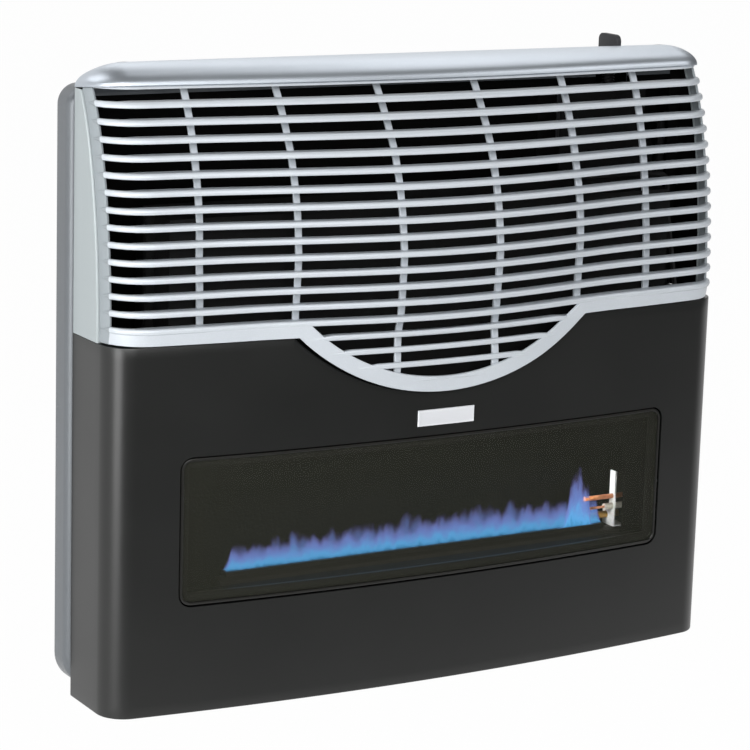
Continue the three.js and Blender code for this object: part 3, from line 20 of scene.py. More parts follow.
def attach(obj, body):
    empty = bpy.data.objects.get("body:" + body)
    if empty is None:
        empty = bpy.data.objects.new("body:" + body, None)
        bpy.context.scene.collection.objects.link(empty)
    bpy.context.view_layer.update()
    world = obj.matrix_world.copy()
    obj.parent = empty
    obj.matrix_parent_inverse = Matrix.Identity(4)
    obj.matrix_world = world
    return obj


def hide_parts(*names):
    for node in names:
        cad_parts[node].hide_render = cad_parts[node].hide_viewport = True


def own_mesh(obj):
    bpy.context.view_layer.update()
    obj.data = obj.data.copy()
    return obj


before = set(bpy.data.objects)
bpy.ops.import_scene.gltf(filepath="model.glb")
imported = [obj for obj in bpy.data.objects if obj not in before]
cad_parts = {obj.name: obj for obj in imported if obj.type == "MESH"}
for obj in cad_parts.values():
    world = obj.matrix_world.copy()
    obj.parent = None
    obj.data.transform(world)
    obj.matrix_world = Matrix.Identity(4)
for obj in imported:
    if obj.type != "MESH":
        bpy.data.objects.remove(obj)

LOG = logging.getLogger("heater")
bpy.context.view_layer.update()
WALL_POINT_HEIGHT = 245.0
HALF_WIDTH = 320.0
BOW = 20.4
FRAME_DEPTH = 26.0
GAP = 0.3
SEAT = FRAME_DEPTH + GAP
SHEET = 1.5
SMOOTH_ANGLE = 38.0
BODY = "heater"
KNOB_AT = (238.5, -21.0)
KNOB_WELL = 18.7
IGNITER_AT = (196.0, -14.0)

Colour = tuple[int, int, int]
Place = tuple[float, float]
Direction = tuple[float, float, float]
Shape = tuple[np.ndarray, list]
FlameStops = tuple[tuple[float, Colour], ...]
Measure = float | np.ndarray


def to_frame(points: np.ndarray) -> np.ndarray:
    """Turns millimetre points above the casing's lower edge into the frame's metres.

    Args:
        points: An array whose last axis is x, y, z.

    Returns:
        The same points in metres, lowered to the wall reference point.
    """
    moved = np.asarray(points, float).copy()
    moved[..., 2] -= WALL_POINT_HEIGHT
    return moved * 0.001


def linear(colour: Colour) -> tuple[float, float, float, float]:
    """Turns an 8-bit screen colour into the linear colour that shaders take.

    Args:
        colour: Red, green and blue from 0 to 255.

    Returns:
        Linear red, green, blue and an alpha of 1.
    """
    parts = [c / 255 for c in colour]
    return (*[p / 12.92 if p <= 0.04045 else ((p + 0.055) / 1.055) ** 2.4 for p in parts], 1.0)


# ---------------------------------------------------------------- finishes


class Coating:
    """A material under construction: its plain shader, and short ways to add nodes and to join them."""

    def __init__(self, name: str) -> None:
        """Starts the material with its plain shader."""
        self.material = bpy.data.materials.new(name)
        self.material.use_nodes = True
        self.nodes = self.material.node_tree.nodes
        self.shader = self.nodes["Principled BSDF"]

    def settle(self, **values: Any) -> None:
        """Sets the shader's own sockets.

        Args:
            **values: Socket names, with underscores for spaces, and their values.
        """
        for socket, value in values.items():
            self.shader.inputs[socket.replace("_", " ")].default_value = value

    def add(self, kind: str, **values: Any) -> bpy.types.Node:
        """Adds a node.

        Args:
            kind: The node's type without its "ShaderNode".
            **values: Input names, with underscores for spaces, and their values or the outputs feeding them.

        Returns:
            The new node.
        """
        node = self.nodes.new("ShaderNode" + kind)
        for socket, value in values.items():
            self.feed(node, socket.replace("_", " "), value)
        return node

    def feed(self, node: bpy.types.Node, socket: str | int, value: Any) -> None:
        """Gives an input a value, or joins it to the output that feeds it.

        Args:
            node: The node.
            socket: The input's name or number.
            value: A plain value or an output.
        """
        if isinstance(value, bpy.types.NodeSocket):
            self.material.node_tree.links.new(value, node.inputs[socket])
        else:
            node.inputs[socket].default_value = value

    def maths(self, operation: str, *values: Any) -> bpy.types.NodeSocket:
        """Adds a calculation.

        Args:
            operation: What is done with the values.
            *values: Numbers, or the outputs that give them.

        Returns:
            The result.
        """
        node = self.nodes.new("ShaderNodeMath")
        node.operation = operation
        for socket, value in enumerate(values):
            self.feed(node, socket, value)
        return node.outputs["Value"]

    def shade(self, socket: str, value: bpy.types.NodeSocket) -> None:
        """Joins an output to one of the shader's sockets."""
        self.feed(self.shader, socket, value)

    def noise(self, scale: float, detail: float, stretch: Direction) -> bpy.types.NodeSocket:
        """Adds a noise over the piece.

        Args:
            scale: How many grains lie along a metre.
            detail: The noise's detail.
            stretch: How the noise is scaled along x, y and z.

        Returns:
            The noise's value.
        """
        place = self.add("TexCoord").outputs["Object"]
        mapping = self.add("Mapping", Vector=place, Scale=stretch)
        noise = self.add("TexNoise", Vector=mapping.outputs["Vector"], Scale=scale, Detail=detail)
        return noise.outputs["Fac"]

    def spread(self, value: bpy.types.NodeSocket, low: float, high: float) -> bpy.types.NodeSocket:
        """Returns a value from 0 to 1 stretched to the range from low to high."""
        return self.add("MapRange", Value=value, To_Min=low, To_Max=high).outputs["Result"]

    def blend(self, share: bpy.types.NodeSocket, first: Any, second: Any) -> bpy.types.NodeSocket:
        """Mixes two colours.

        Args:
            share: The share of the second colour.
            first: The first colour, or the output that gives it.
            second: The second colour.

        Returns:
            The mixed colour.
        """
        mix = self.nodes.new("ShaderNodeMix")
        mix.data_type = "RGBA"
        self.feed(mix, "Factor", share)
        self.feed(mix, "A", first)
        self.feed(mix, "B", second)
        return mix.outputs["Result"]


class Grain(Enum):
    """The small relief of a finish: how its noise is stretched along x, y and z."""

    EVEN = (1.0, 1.0, 1.0)
    BRUSHED_ALONG_X = (0.03, 1.0, 1.0)
    BRUSHED_ALONG_Z = (1.0, 1.0, 0.03)


@dataclass(frozen=True)
class Finish:
    """A surface finish made of a base colour with slow mottling, fine grain and uneven gloss."""

    name: str
    colour: Colour
    roughness: float
    metallic: float = 0.0
    mottle: float = 0.06
    mottle_scale: float = 9.0
    grain: Grain = Grain.EVEN
    grain_scale: float = 900.0
    grain_height: float = 0.05
    gloss_spread: float = 0.06
    coat: float = 0.0
    coat_roughness: float = 0.2
    speck: float = 0.0
    specular: float = 0.5

    @lru_cache(maxsize=None)
    def material(self) -> bpy.types.Material:
        """Builds the finish the first time it is asked for.

        Returns:
            The finish as a node material.
        """
        made = Coating(self.name)
        made.settle(
            Metallic=self.metallic, Specular_IOR_Level=self.specular,
            Coat_Weight=self.coat, Coat_Roughness=self.coat_roughness)
        slow = made.noise(self.mottle_scale, 3.0, Grain.EVEN.value)
        fine = made.noise(self.grain_scale, 2.0, self.grain.value)
        colour = made.blend(slow, self._shade(1 - self.mottle), self._shade(1 + self.mottle))
        if self.speck:
            fleck = made.add("MapRange", Value=fine, From_Min=0.55, From_Max=0.75).outputs["Result"]
            colour = made.blend(fleck, colour, self._shade(1 + self.speck))
        made.shade("Base Color", colour)
        dull = min(self.roughness + self.gloss_spread, 1.0)
        bright = max(self.roughness - self.gloss_spread, 0.02)
        made.shade("Roughness", made.spread(slow, bright, dull))
        relief = made.add("Bump", Strength=self.grain_height, Distance=0.001, Height=fine)
        made.shade("Normal", relief.outputs["Normal"])
        return made.material

    def _shade(self, factor: float) -> tuple[float, float, float, float]:
        """Returns the base colour made lighter or darker by a factor."""
        return (*[min(c * factor, 1.0) for c in linear(self.colour)[:3]], 1.0)


SILVER = Finish(
    "silver_paint", (198, 204, 210), 0.42, 0.15, mottle=0.04, grain_scale=1500, grain_height=0.04, speck=0.12)
# Painted shade: the grille's silver made darker and nearly without reflection, for the side bands and the
# wrapped ends that turn away from the light.
BANDS_PAINTED_SHADE = Finish(
    "silver_bands_painted_shade", (150, 157, 161), 0.5, mottle=0.04, grain_scale=1500, grain_height=0.04, specular=0.1)
CAP_SILVER = Finish(
    "cap_silver_paint", (193, 200, 208), 0.4, 0.95,
    mottle=0.03, grain_scale=1500, grain_height=0.03, speck=0.1)
CHEEK_GREY = Finish(
    "cheek_paint", (170, 178, 180), 0.45, 0.2, mottle=0.03, grain_scale=1200, grain_height=0.04, speck=0.05)
FRAME_GREY = Finish("frame_paint", (104, 108, 112), 0.36, 0.3, mottle=0.05, grain_scale=1200, speck=0.06)
CHARCOAL = Finish(
    "charcoal_paint", (20, 21, 20), 0.34,
    mottle=0.05, grain_scale=1800, grain_height=0.03, speck=0.3, specular=0.6)
# Painted shade: a near-black, unreflecting finish for faces inside the heater, standing in for the shade
# there.
INSIDE_PAINTED_SHADE = Finish(
    "inside_painted_shade", (5, 5, 5), 0.9, mottle=0.2, grain_scale=500, grain_height=0.2, specular=0.1)
# Partly the chamber's own black enamel and partly painted shade: it is kept nearly black and is also given to
# the control bracket and the pipes, so that the inside reads as shade.
ENAMEL_AND_PAINTED_SHADE = Finish(
    "black_enamel", (8, 8, 8), 0.7,
    mottle=0.25, grain_scale=350, grain_height=0.25, gloss_spread=0.12, specular=0.2)
BEZEL_BLACK = Finish(
    "bezel_black", (30, 30, 28), 0.3, mottle=0.08, grain_scale=1400, grain_height=0.03, specular=0.4)
HEATED_STEEL = Finish("heated_steel", (58, 54, 52), 0.5, 0.7, mottle=0.35, mottle_scale=40, grain_height=0.12)
PLATED_STEEL = Finish(
    "plated_steel", (158, 159, 158), 0.36, 0.9, mottle=0.1, mottle_scale=30, grain=Grain.BRUSHED_ALONG_X)
# Painted highlight: steel given a near-white, hardly metallic colour that stands in for the bright reflection
# on the pilot's bracket.
STEEL_PAINTED_HIGHLIGHT = Finish("steel_painted_highlight", (238, 238, 236), 0.3, 0.15, grain=Grain.BRUSHED_ALONG_Z)
BADGE_METAL = Finish(
    "badge_metal", (226, 228, 232), 0.35, 0.2, mottle=0.04, grain=Grain.BRUSHED_ALONG_X, grain_height=0.06)
CAST_ALUMINIUM = Finish(
    "cast_aluminium", (172, 173, 172), 0.5, 0.8,
    mottle=0.1, mottle_scale=50, grain_scale=600, grain_height=0.3)
BRASS = Finish("brass", (190, 152, 78), 0.32, 0.9, mottle=0.12, mottle_scale=60, grain_height=0.06)
COPPER = Finish("copper", (214, 146, 104), 0.34, 0.3, mottle=0.16, mottle_scale=45, grain_height=0.06)
BLUED_STEEL = Finish("blued_steel", (15, 15, 17), 0.6, 0.3, mottle=0.15, mottle_scale=60, grain_height=0.08)
CERAMIC = Finish("ceramic", (232, 228, 215), 0.25, mottle=0.03, grain_height=0.02, coat=0.4)
KNOB_PLASTIC = Finish("knob_plastic", (44, 45, 48), 0.55, mottle=0.08, grain_scale=1100, grain_height=0.2)
LEAD_RUBBER = Finish("lead_rubber", (14, 13, 13), 0.6, mottle=0.08, grain_scale=700, grain_height=0.1)
SEAL = Finish(
    "seal_rope", (26, 25, 23), 0.9, mottle=0.25, mottle_scale=200, grain_scale=420, grain_height=0.6)


@dataclass(frozen=True)
class FireGlass:
    """Clear heat-proof glass, lightly smoked, seen against a dark chamber."""

    name: str = "fire_glass"
    colour: Colour = (51, 52, 44)
    alpha: float = 0.34
    roughness: float = 0.06

    def material(self) -> bpy.types.Material:
        """Builds the glass.

        Returns:
            A see-through glossy material with faint smears in its gloss.
        """
        made = Coating(self.name)
        made.settle(Base_Color=linear(self.colour), Alpha=self.alpha)
        smear = made.add("TexNoise", Vector=made.add("TexCoord").outputs["Object"], Scale=6.0)
        made.shade("Roughness", made.spread(smear.outputs["Fac"], self.roughness * 0.6, self.roughness * 1.6))
        return made.material


@dataclass(frozen=True)
class GasFlame:
    """A blue gas flame: pale and dense at its foot, violet and thin towards its tips."""

    name: str = "gas_flame"
    strength: float = 1.9
    density: float = 0.8
    raggedness: float = 0.7
    lick_size: Direction = (170.0, 170.0, 55.0)
    colours: FlameStops = (
        (0.0, (74, 158, 214)), (0.22, (92, 170, 230)), (0.5, (118, 146, 222)), (1.0, (136, 126, 204)))
    cover: FlameStops = ((0.0, (190,) * 3), (0.1, (230,) * 3), (0.5, (185,) * 3), (1.0, (0,) * 3))

    @lru_cache(maxsize=None)
    def material(self) -> bpy.types.Material:
        """Builds the flame, which reads its height from the second texture coordinate.

        Returns:
            A glowing material that fades towards the tips.
        """
        made = Coating(self.name)
        made.settle(Base_Color=(0.0, 0.0, 0.0, 1.0), Specular_IOR_Level=0.0, Roughness=1.0,
                    Emission_Strength=self.strength)
        up = made.add("SeparateXYZ", Vector=made.add("TexCoord").outputs["UV"]).outputs["Y"]
        ragged = made.maths("MULTIPLY_ADD", made.noise(1.0, 2.0, self.lick_size), self.raggedness, up)
        height = made.maths("SUBTRACT", ragged, self.raggedness / 2)
        made.shade("Emission Color", self._ramp(made, height, self.colours))
        made.shade("Alpha", made.maths("MULTIPLY", self._ramp(made, height, self.cover), self.density))
        return made.material

    @staticmethod
    def _ramp(made: Coating, height: bpy.types.NodeSocket, stops: FlameStops) -> bpy.types.NodeSocket:
        """Adds a colour ramp over the flame's height.

        Args:
            made: The material.
            height: The height.
            stops: Pairs of height and 8-bit colour.

        Returns:
            The ramp's colour.
        """
        ramp = made.add("ValToRGB", Fac=height)
        ramp.color_ramp.interpolation = "EASE"
        elements = ramp.color_ramp.elements
        while len(elements) < len(stops):
            elements.new(0.5)
        for element, (position, colour) in zip(elements, stops):
            element.position = position
            element.color = linear(colour)
        return ramp.outputs["Color"]


class Dressing(Protocol):
    """What a piece can be dressed in: a finish, the glass or a flame."""

    name: str

    def material(self) -> bpy.types.Material:
        """Builds the material."""


# ---------------------------------------------------------------- meshes


def grid_faces(
    rows: int, cols: int, closed: bool = False, keep: Optional[Callable[[int, int], bool]] = None
) -> list:
    """Lists the quads of a grid whose points are numbered row by row.

    Args:
        rows: The number of rows of points.
        cols: The number of points in a row.
        closed: Whether each row's last point is joined to its first.
        keep: Says of a quad's row and column whether it is kept.

    Returns:
        The quads as tuples of four point numbers.
    """
    faces = []
    for i in range(rows - 1):
        for j in range(cols if closed else cols - 1):
            if keep is None or keep(i, j):
                k = (j + 1) % cols
                faces.append((i * cols + j, i * cols + k, (i + 1) * cols + k, (i + 1) * cols + j))
    return faces


def make_piece(
    name: str,
    shape: Shape,
    finish: Dressing,
    slot: str,
    replaces: Sequence[str] = (),
    body: str = BODY,
    facing: Optional[Direction] = None,
    crease: float = SMOOTH_ANGLE,
) -> bpy.types.Object:
    """Makes a piece of the heater that rides on a body.

    Args:
        name: The piece's name.
        shape: Its points in millimetres and its faces.
        finish: Its finish.
        slot: The record's material slot. It is not used.
        replaces: The solids that it stands for.
        body: The body that it rides on.
        facing: The way an open sheet faces; a closed piece is turned by its volume.
        crease: The angle in degrees above which an edge is shaded sharp.

    Returns:
        The new object.
    """
    mesh = plain_mesh(name, shape)
    if facing is not None:
        outward = sum(p.area * p.normal.dot(Vector(facing)) for p in mesh.polygons)
    else:
        outward = sum(p.area * p.normal.dot(p.center) for p in mesh.polygons)
    if outward < 0:
        mesh.flip_normals()
    smooth(mesh, crease)
    mesh.materials.append(finish.material())
    made = put_in_scene(name, mesh)
    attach(made, body)
    if replaces:
        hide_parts(*replaces)
    LOG.info("%s: %d faces, %s", name, len(mesh.polygons), finish.name)
    return made


def plain_mesh(name: str, shape: Shape) -> bpy.types.Mesh:
    """Makes a mesh from a shape in millimetres.

    Args:
        name: The mesh's name.
        shape: Its points and its faces.

    Returns:
        The mesh, in the frame's metres.
    """
    points, faces = shape
    mesh = bpy.data.meshes.new(name)
    mesh.from_pydata([tuple(p) for p in to_frame(np.reshape(points, (-1, 3)))], [], [tuple(f) for f in faces])
    mesh.update()
    return mesh


def put_in_scene(name: str, data: bpy.types.ID) -> bpy.types.Object:
    """Makes an object of a mesh, a light or a camera and puts it in the scene."""
    made = bpy.data.objects.new(name, data)
    bpy.context.scene.collection.objects.link(made)
    return made


def smooth(mesh: bpy.types.Mesh, crease: float = SMOOTH_ANGLE) -> None:
    """Shades a mesh smooth, with its edges above the crease angle left sharp."""
    mesh.polygons.foreach_set("use_smooth", [True] * len(mesh.polygons))
    mesh.set_sharp_from_angle(angle=math.radians(crease))


def shade_inside_faces(piece: bpy.types.Object, hidden: Callable[[bpy.types.MeshPolygon], bool]) -> None:
    """Paints a piece's hidden faces near-black, as painted shade for the inside of the heater.

    Args:
        piece: The piece.
        hidden: Says of a face whether it is hidden.
    """
    piece.data.materials.append(INSIDE_PAINTED_SHADE.material())
    for face in piece.data.polygons:
        face.material_index = int(hidden(face))


def thicken(piece: bpy.types.Object, thickness: float, inside: Optional[Finish] = None) -> None:
    """Gives an open sheet its thickness, inwards.

    Args:
        piece: The sheet.
        thickness: Its thickness in millimetres.
        inside: The finish of its inner side, if that differs.
    """
    solid = piece.modifiers.new("thickness", "SOLIDIFY")
    solid.thickness = thickness * 0.001
    solid.offset = -1.0
    solid.use_even_offset = True
    if inside is not None:
        piece.data.materials.append(inside.material())
        solid.material_offset = 1


def soften(piece: bpy.types.Object, width: float, segments: int = 2, angle: float = 50.0) -> None:
    """Rounds a piece's sharp edges.

    Args:
        piece: The piece.
        width: The rounding's width in millimetres.
        segments: How many faces it has across.
        angle: The least angle in degrees of an edge that is rounded.
    """
    bevel = piece.modifiers.new("softened edges", "BEVEL")
    bevel.width = width * 0.001
    bevel.segments = segments
    bevel.limit_method = "ANGLE"
    bevel.angle_limit = math.radians(angle)
    bevel.harden_normals = True


class Ends(Enum):
    """What becomes of the first and the last of a row of rings."""

    FILLED = "each is filled"
    JOINED = "they are joined to each other"


def loft(rings: Sequence[np.ndarray], ends: Ends = Ends.FILLED) -> Shape:
    """Joins matching closed rings of points.

    Args:
        rings: Rings by points by x, y, z.
        ends: What becomes of the first and the last ring.

    Returns:
        The points and the faces.
    """
    rings = np.array(rings)
    count, sides = rings.shape[:2]
    faces = grid_faces(count, sides, closed=True)
    last = (count - 1) * sides
    if ends is Ends.FILLED:
        faces.append(tuple(range(sides - 1, -1, -1)))
        faces.append(tuple(last + k for k in range(sides)))
    else:
        faces += [(last + k, last + (k + 1) % sides, (k + 1) % sides, k) for k in range(sides)]
    return rings.reshape(-1, 3), faces


def bar(lines: Sequence[np.ndarray]) -> Shape:
    """Joins matching lines that run along a bar, listed in order round its section.

    Args:
        lines: Lines by points by x, y, z.

    Returns:
        The points and the faces.
    """
    return loft(np.swapaxes(np.array(lines), 0, 1))


def turned(profile: Sequence[Place], centre: Place, sides: int = 48, axis: str = "z") -> Shape:
    """Turns a profile about an upright or a front-to-back axis.

    Args:
        profile: Pairs of radius and distance along the axis.
        centre: The axis's place in the other two coordinates.
        sides: The number of sides round the axis.
        axis: "z" or "y".

    Returns:
        The points and the faces.
    """
    angles = np.linspace(0, 2 * math.pi, sides, endpoint=False)
    rings = []
    for r, along in profile:
        u, v = centre[0] + r * np.cos(angles), centre[1] + r * np.sin(angles)
        w = np.full(sides, along)
        rings.append(np.stack([u, v, w] if axis == "z" else [u, w, v], -1))
    return loft(rings)


def swept(route: np.ndarray, radius: float, sides: int = 12) -> Shape:
    """Runs a round section along a route.

    Args:
        route: The route's points.
        radius: The section's radius.
        sides: The number of its sides.

    Returns:
        The points and the faces.
    """
    along = np.gradient(route, axis=0)
    along /= np.linalg.norm(along, axis=1)[:, None]
    side = np.cross([0.31, 0.53, 0.79], along[0])
    turn = np.linspace(0, 2 * math.pi, sides, endpoint=False)[:, None]
    rings = []
    for p, t in zip(route, along):
        side = side - t * np.dot(side, t)
        side = side / np.linalg.norm(side)
        rings.append(p + radius * (np.cos(turn) * side + np.sin(turn) * np.cross(t, side)))
    return loft(rings)


def block(low: Sequence[float], high: Sequence[float]) -> Shape:
    """Lists the points and the faces of a straight block between two corners."""
    (x0, y0, z0), (x1, y1, z1) = low, high
    ring = [(x0, y0), (x1, y0), (x1, y1), (x0, y1)]
    return loft([[(x, y, z) for x, y in ring] for z in (z0, z1)])


def bore_out(piece: bpy.types.Object, cutters: Sequence[Shape]) -> None:
    """Cuts closed shapes out of a piece and keeps the result as its mesh.

    Args:
        piece: The piece, a closed one.
        cutters: The shapes to cut out.
    """
    tools = []
    for shape in cutters:
        mesh = plain_mesh("cutter", shape)
        if sum(p.area * p.normal.dot(p.center - mesh.vertices[0].co) for p in mesh.polygons) < 0:
            mesh.flip_normals()
        tools.append(put_in_scene("cutter", mesh))
        step = piece.modifiers.new("cut", "BOOLEAN")
        step.operation = "DIFFERENCE"
        step.solver = "MANIFOLD"
        step.object = tools[-1]
    graph = bpy.context.evaluated_depsgraph_get()
    result = bpy.data.meshes.new_from_object(piece.evaluated_get(graph), depsgraph=graph)
    piece.modifiers.clear()
    piece.data = result
    for tool in tools:
        bpy.data.objects.remove(tool)
    smooth(result)


def merge_points(piece: bpy.types.Object) -> None:
    """Joins a mesh's points that lie on each other and drops the faces that this closes up."""
    work = bmesh.new()
    work.from_mesh(piece.data)
    bmesh.ops.remove_doubles(work, verts=work.verts, dist=1e-6)
    bmesh.ops.dissolve_degenerate(work, edges=work.edges, dist=1e-7)
    bmesh.ops.recalc_face_normals(work, faces=work.faces)
    work.to_mesh(piece.data)
    work.free()
    piece.data.set_sharp_from_angle(angle=math.radians(SMOOTH_ANGLE))


def used_points(shape: Shape) -> Shape:
    """Drops the points that no face uses.

    Args:
        shape: Points and faces.

    Returns:
        The points that are left and the faces with their new numbers.
    """
    points, faces = shape
    used = sorted({v for f in faces for v in f})
    number = {v: k for k, v in enumerate(used)}
    return np.reshape(points, (-1, 3))[used], [tuple(number[v] for v in f) for f in faces]


# ---------------------------------------------------------------- bowed fronts


def front_depth(x: Measure, edge: Measure) -> Measure:
    """Returns how far from the wall the bowed front lies at x, given its depth at the sides."""
    return edge + BOW * (1 - (x / HALF_WIDTH) ** 2)


@dataclass(frozen=True)
class Bow:
    """The plan of a bowed front with rounded corners, followed by its length from the middle."""

    corner: float

    @property
    def slope(self) -> float:
        """The angle in radians at which the front meets its corners."""
        return math.atan(2 * BOW * (HALF_WIDTH - self.corner) / HALF_WIDTH**2)

    @property
    def front_end(self) -> float:
        """How far from the middle the front ends and a corner starts."""
        return HALF_WIDTH - self.corner + self.corner * math.sin(self.slope)

    def along(self, angle: float) -> float:
        """Returns the length to the point of the corner that faces `angle` degrees away from the front."""
        return self.front_end + self.corner * (math.radians(angle) - self.slope)

    def side_depth(self, edge: Measure) -> Measure:
        """Returns the depth at which the corner meets the side, given the front's depth at the sides."""
        return front_depth(self.front_end, edge) - self.corner * math.cos(self.slope)

    def side_end(self, edge: float) -> float:
        """Returns the length to where the side ends in front of the rear frame."""
        return self.along(90.0) + self.side_depth(edge) - SEAT

    def place(
        self, s: Measure, edge: Measure, bulge: Measure = 0.0, reach: Measure = 1.0, inset: Measure = 0.0
    ) -> tuple[np.ndarray, np.ndarray]:
        """Finds points of the plan.

        Args:
            s: Signed lengths from the middle.
            edge: The front's depth at the sides, before its corners are rounded.
            bulge: How far the belly stands out.
            reach: The belly's half width.
            inset: How far inwards of the outline the points lie.

        Returns:
            The points' x and y.
        """
        given = [np.asarray(v, float) for v in (s, edge, bulge, reach, inset)]
        s, edge, bulge, reach, inset = np.broadcast_arrays(*given)
        size = np.abs(s)
        x = np.minimum(size, self.front_end)
        near = np.minimum(x / reach, 1.0)
        depth = front_depth(x, edge) + bulge * (1 - near**2) ** 2
        swell = np.where(x < reach, 4 * bulge * near * (1 - near**2) / reach, 0.0)
        lean = -2 * BOW * x / HALF_WIDTH**2 - swell
        length = np.hypot(lean, 1.0)
        front_x, front_y = x + lean / length * inset, -depth + inset / length
        turn = np.clip((size - self.front_end) / self.corner, 0, math.pi / 2 - self.slope) + self.slope
        r = self.corner - inset
        beyond = np.maximum(size - self.along(90.0), 0.0)
        corner_x = HALF_WIDTH - self.corner + r * np.sin(turn)
        corner_y = -self.side_depth(edge) - r * np.cos(turn) + beyond
        on_corner = size > self.front_end
        return np.sign(s) * np.where(on_corner, corner_x, front_x), np.where(on_corner, corner_y, front_y)


def spread(*stops: tuple[float, int]) -> np.ndarray:
    """Lists values through the given stops.

    Args:
        *stops: Pairs of a value and the number of steps that lead to it.

    Returns:
        The values in order.
    """
    values = [stops[0][0]]
    for (start, _), (end, steps) in zip(stops, stops[1:]):
        values.extend(start + (end - start) * (k + 1) / steps for k in range(steps))
    return np.array(values)


def both_ways(half: np.ndarray) -> np.ndarray:
    """Lists the values of one half, which start at 0, first mirrored and then as they are."""
    return np.concatenate([-half[:0:-1], half])


# ---------------------------------------------------------------- sub-assemblies


CORNER_STEPS = np.array([-9.5, -6.5, -4.2, -2.6, -1.5, -0.8, -0.35, 0.0, 0.35, 0.8, 1.5, 2.6, 4.2, 6.5, 9.5])


@dataclass
class Lobe:
    """The curved dip in the casing's upper edge, shared by the casing and the grille."""

    radius: float = 219.4
    lowest: float = 275.0
    seam: float = 333.0

    @property
    def centre(self) -> float:
        """The height of the dip's centre."""
        return self.lowest + self.radius

    def edge(
        self, x: np.ndarray, grow: float = 0.0, level: Optional[float] = None, shoulder: float = 0.2
    ) -> np.ndarray:
        """Finds the height of the dipping edge.

        Args:
            x: Distances from the middle.
            grow: How much wider the dip is.
            level: The height of the straight part.
            shoulder: How softly the dip meets the straight part.

        Returns:
            The heights.
        """
        level = self.seam if level is None else level
        r = self.radius + grow
        inside = np.abs(x) < r
        dip = self.centre - np.sqrt(np.where(inside, r**2 - x**2, 0.0))
        dip = np.where(inside, dip, 1e4)
        return level - shoulder * np.logaddexp(0.0, -(dip - level) / shoulder)

    def corner(self, grow: float, level: float) -> float:
        """Returns how far from the middle the dip meets the straight part."""
        return math.sqrt((self.radius + grow) ** 2 - (self.centre - level) ** 2)


@dataclass
class FrontCasing:
    """The charcoal casing with its dipping upper edge and its window opening."""

    lobe: Lobe
    edge: float = 104.7
    bow: Bow = field(default_factory=lambda: Bow(26.4))
    reveal: float = 1.5
    foot: float = 13.5
    rear_return: float = 13.0
    window_half: float = 256.0
    window_bottom: float = 97.5
    window_top: float = 233.3
    window_corner: float = 12.0

    def columns(self) -> np.ndarray:
        """Returns the casing's columns, close together where its edges turn."""
        start = self.window_half - self.window_corner
        turn = start + self.window_corner * np.sin(np.linspace(0, math.pi / 2, 9))
        corner = self.lobe.corner(self.reveal, self.lobe.seam)
        front, side, rear = self.bow.front_end, self.bow.along(90.0), self.bow.side_end(self.edge)
        return both_ways(np.concatenate([
            spread((0.0, 0), (corner - 14, 46)), corner + CORNER_STEPS,
            spread((corner + 14, 0), (start - 4, 18)), turn,
            spread((self.window_half + 3, 0), (front, 8), (side, 16), (rear, 6)),
        ]))

    def build(self) -> None:
        """Builds the casing's skin and its rear edges."""
        s = self.columns()
        x = np.minimum(np.abs(s), self.bow.front_end)
        corner = self.window_corner
        over = np.clip(x - (self.window_half - corner), 0, corner)
        rise = corner - np.sqrt(np.maximum(corner**2 - over**2, 0))
        low, high = self.window_bottom + rise, self.window_top - rise
        top = self.lobe.edge(x, self.reveal)
        foot = ((0.0, self.foot), (0.0, 1.4), (0.25, 0.55), (0.8, 0.12), (1.6, 0.0))
        shares = np.linspace(0, 1, 12)[1:]
        rows = [(0 * s + z, inset) for z, inset in foot]
        rows += [(foot[-1][0] + t * (low - foot[-1][0]), 0.0) for t in shares]
        first_open = len(rows) - 1
        rows += [(low + t * (high - low), 0.0) for t in shares]
        last_open = len(rows) - 1
        rows += [(high + t * (top - 0.8 - high), 0.0) for t in shares]
        rows += [(top - 0.25, 0.2), (top, 0.9), (top, 5.0)]
        z = np.array([height for height, _ in rows])
        px, py = self.bow.place(s[None, :], self.edge, inset=np.array([[inset] for _, inset in rows]))
        in_window = np.abs(s) <= self.window_half + 1e-6
        faces = grid_faces(len(rows), len(s), keep=lambda i, j: not (
            first_open <= i < last_open and in_window[j] and in_window[j + 1]))
        skin = used_points((np.stack([px, py, z], -1), faces))
        casing = make_piece(
            "front_casing_skin", skin, CHARCOAL, "charcoal_paint", ["front_casing"], facing=(0, -1, 0))
        # The sheet's inner side is near-black, painted shade for the inside of the casing.
        thicken(casing, SHEET, INSIDE_PAINTED_SHADE)
        soften(casing, 0.4)
        self._rear_returns()

    def _rear_returns(self) -> None:
        """Builds the strips at the sides that are turned inwards in front of the rear frame."""
        for side, word in ((-1, "left"), (1, "right")):
            inner, outer = sorted((side * (HALF_WIDTH - SHEET), side * (HALF_WIDTH - self.rear_return)))
            strip = block((inner, -SEAT - SHEET, 1.6), (outer, -SEAT, self.lobe.seam - 1.0))
            made = make_piece(f"casing_{word}_rear_return", strip, CHARCOAL, "charcoal_paint")
            soften(made, 0.3)


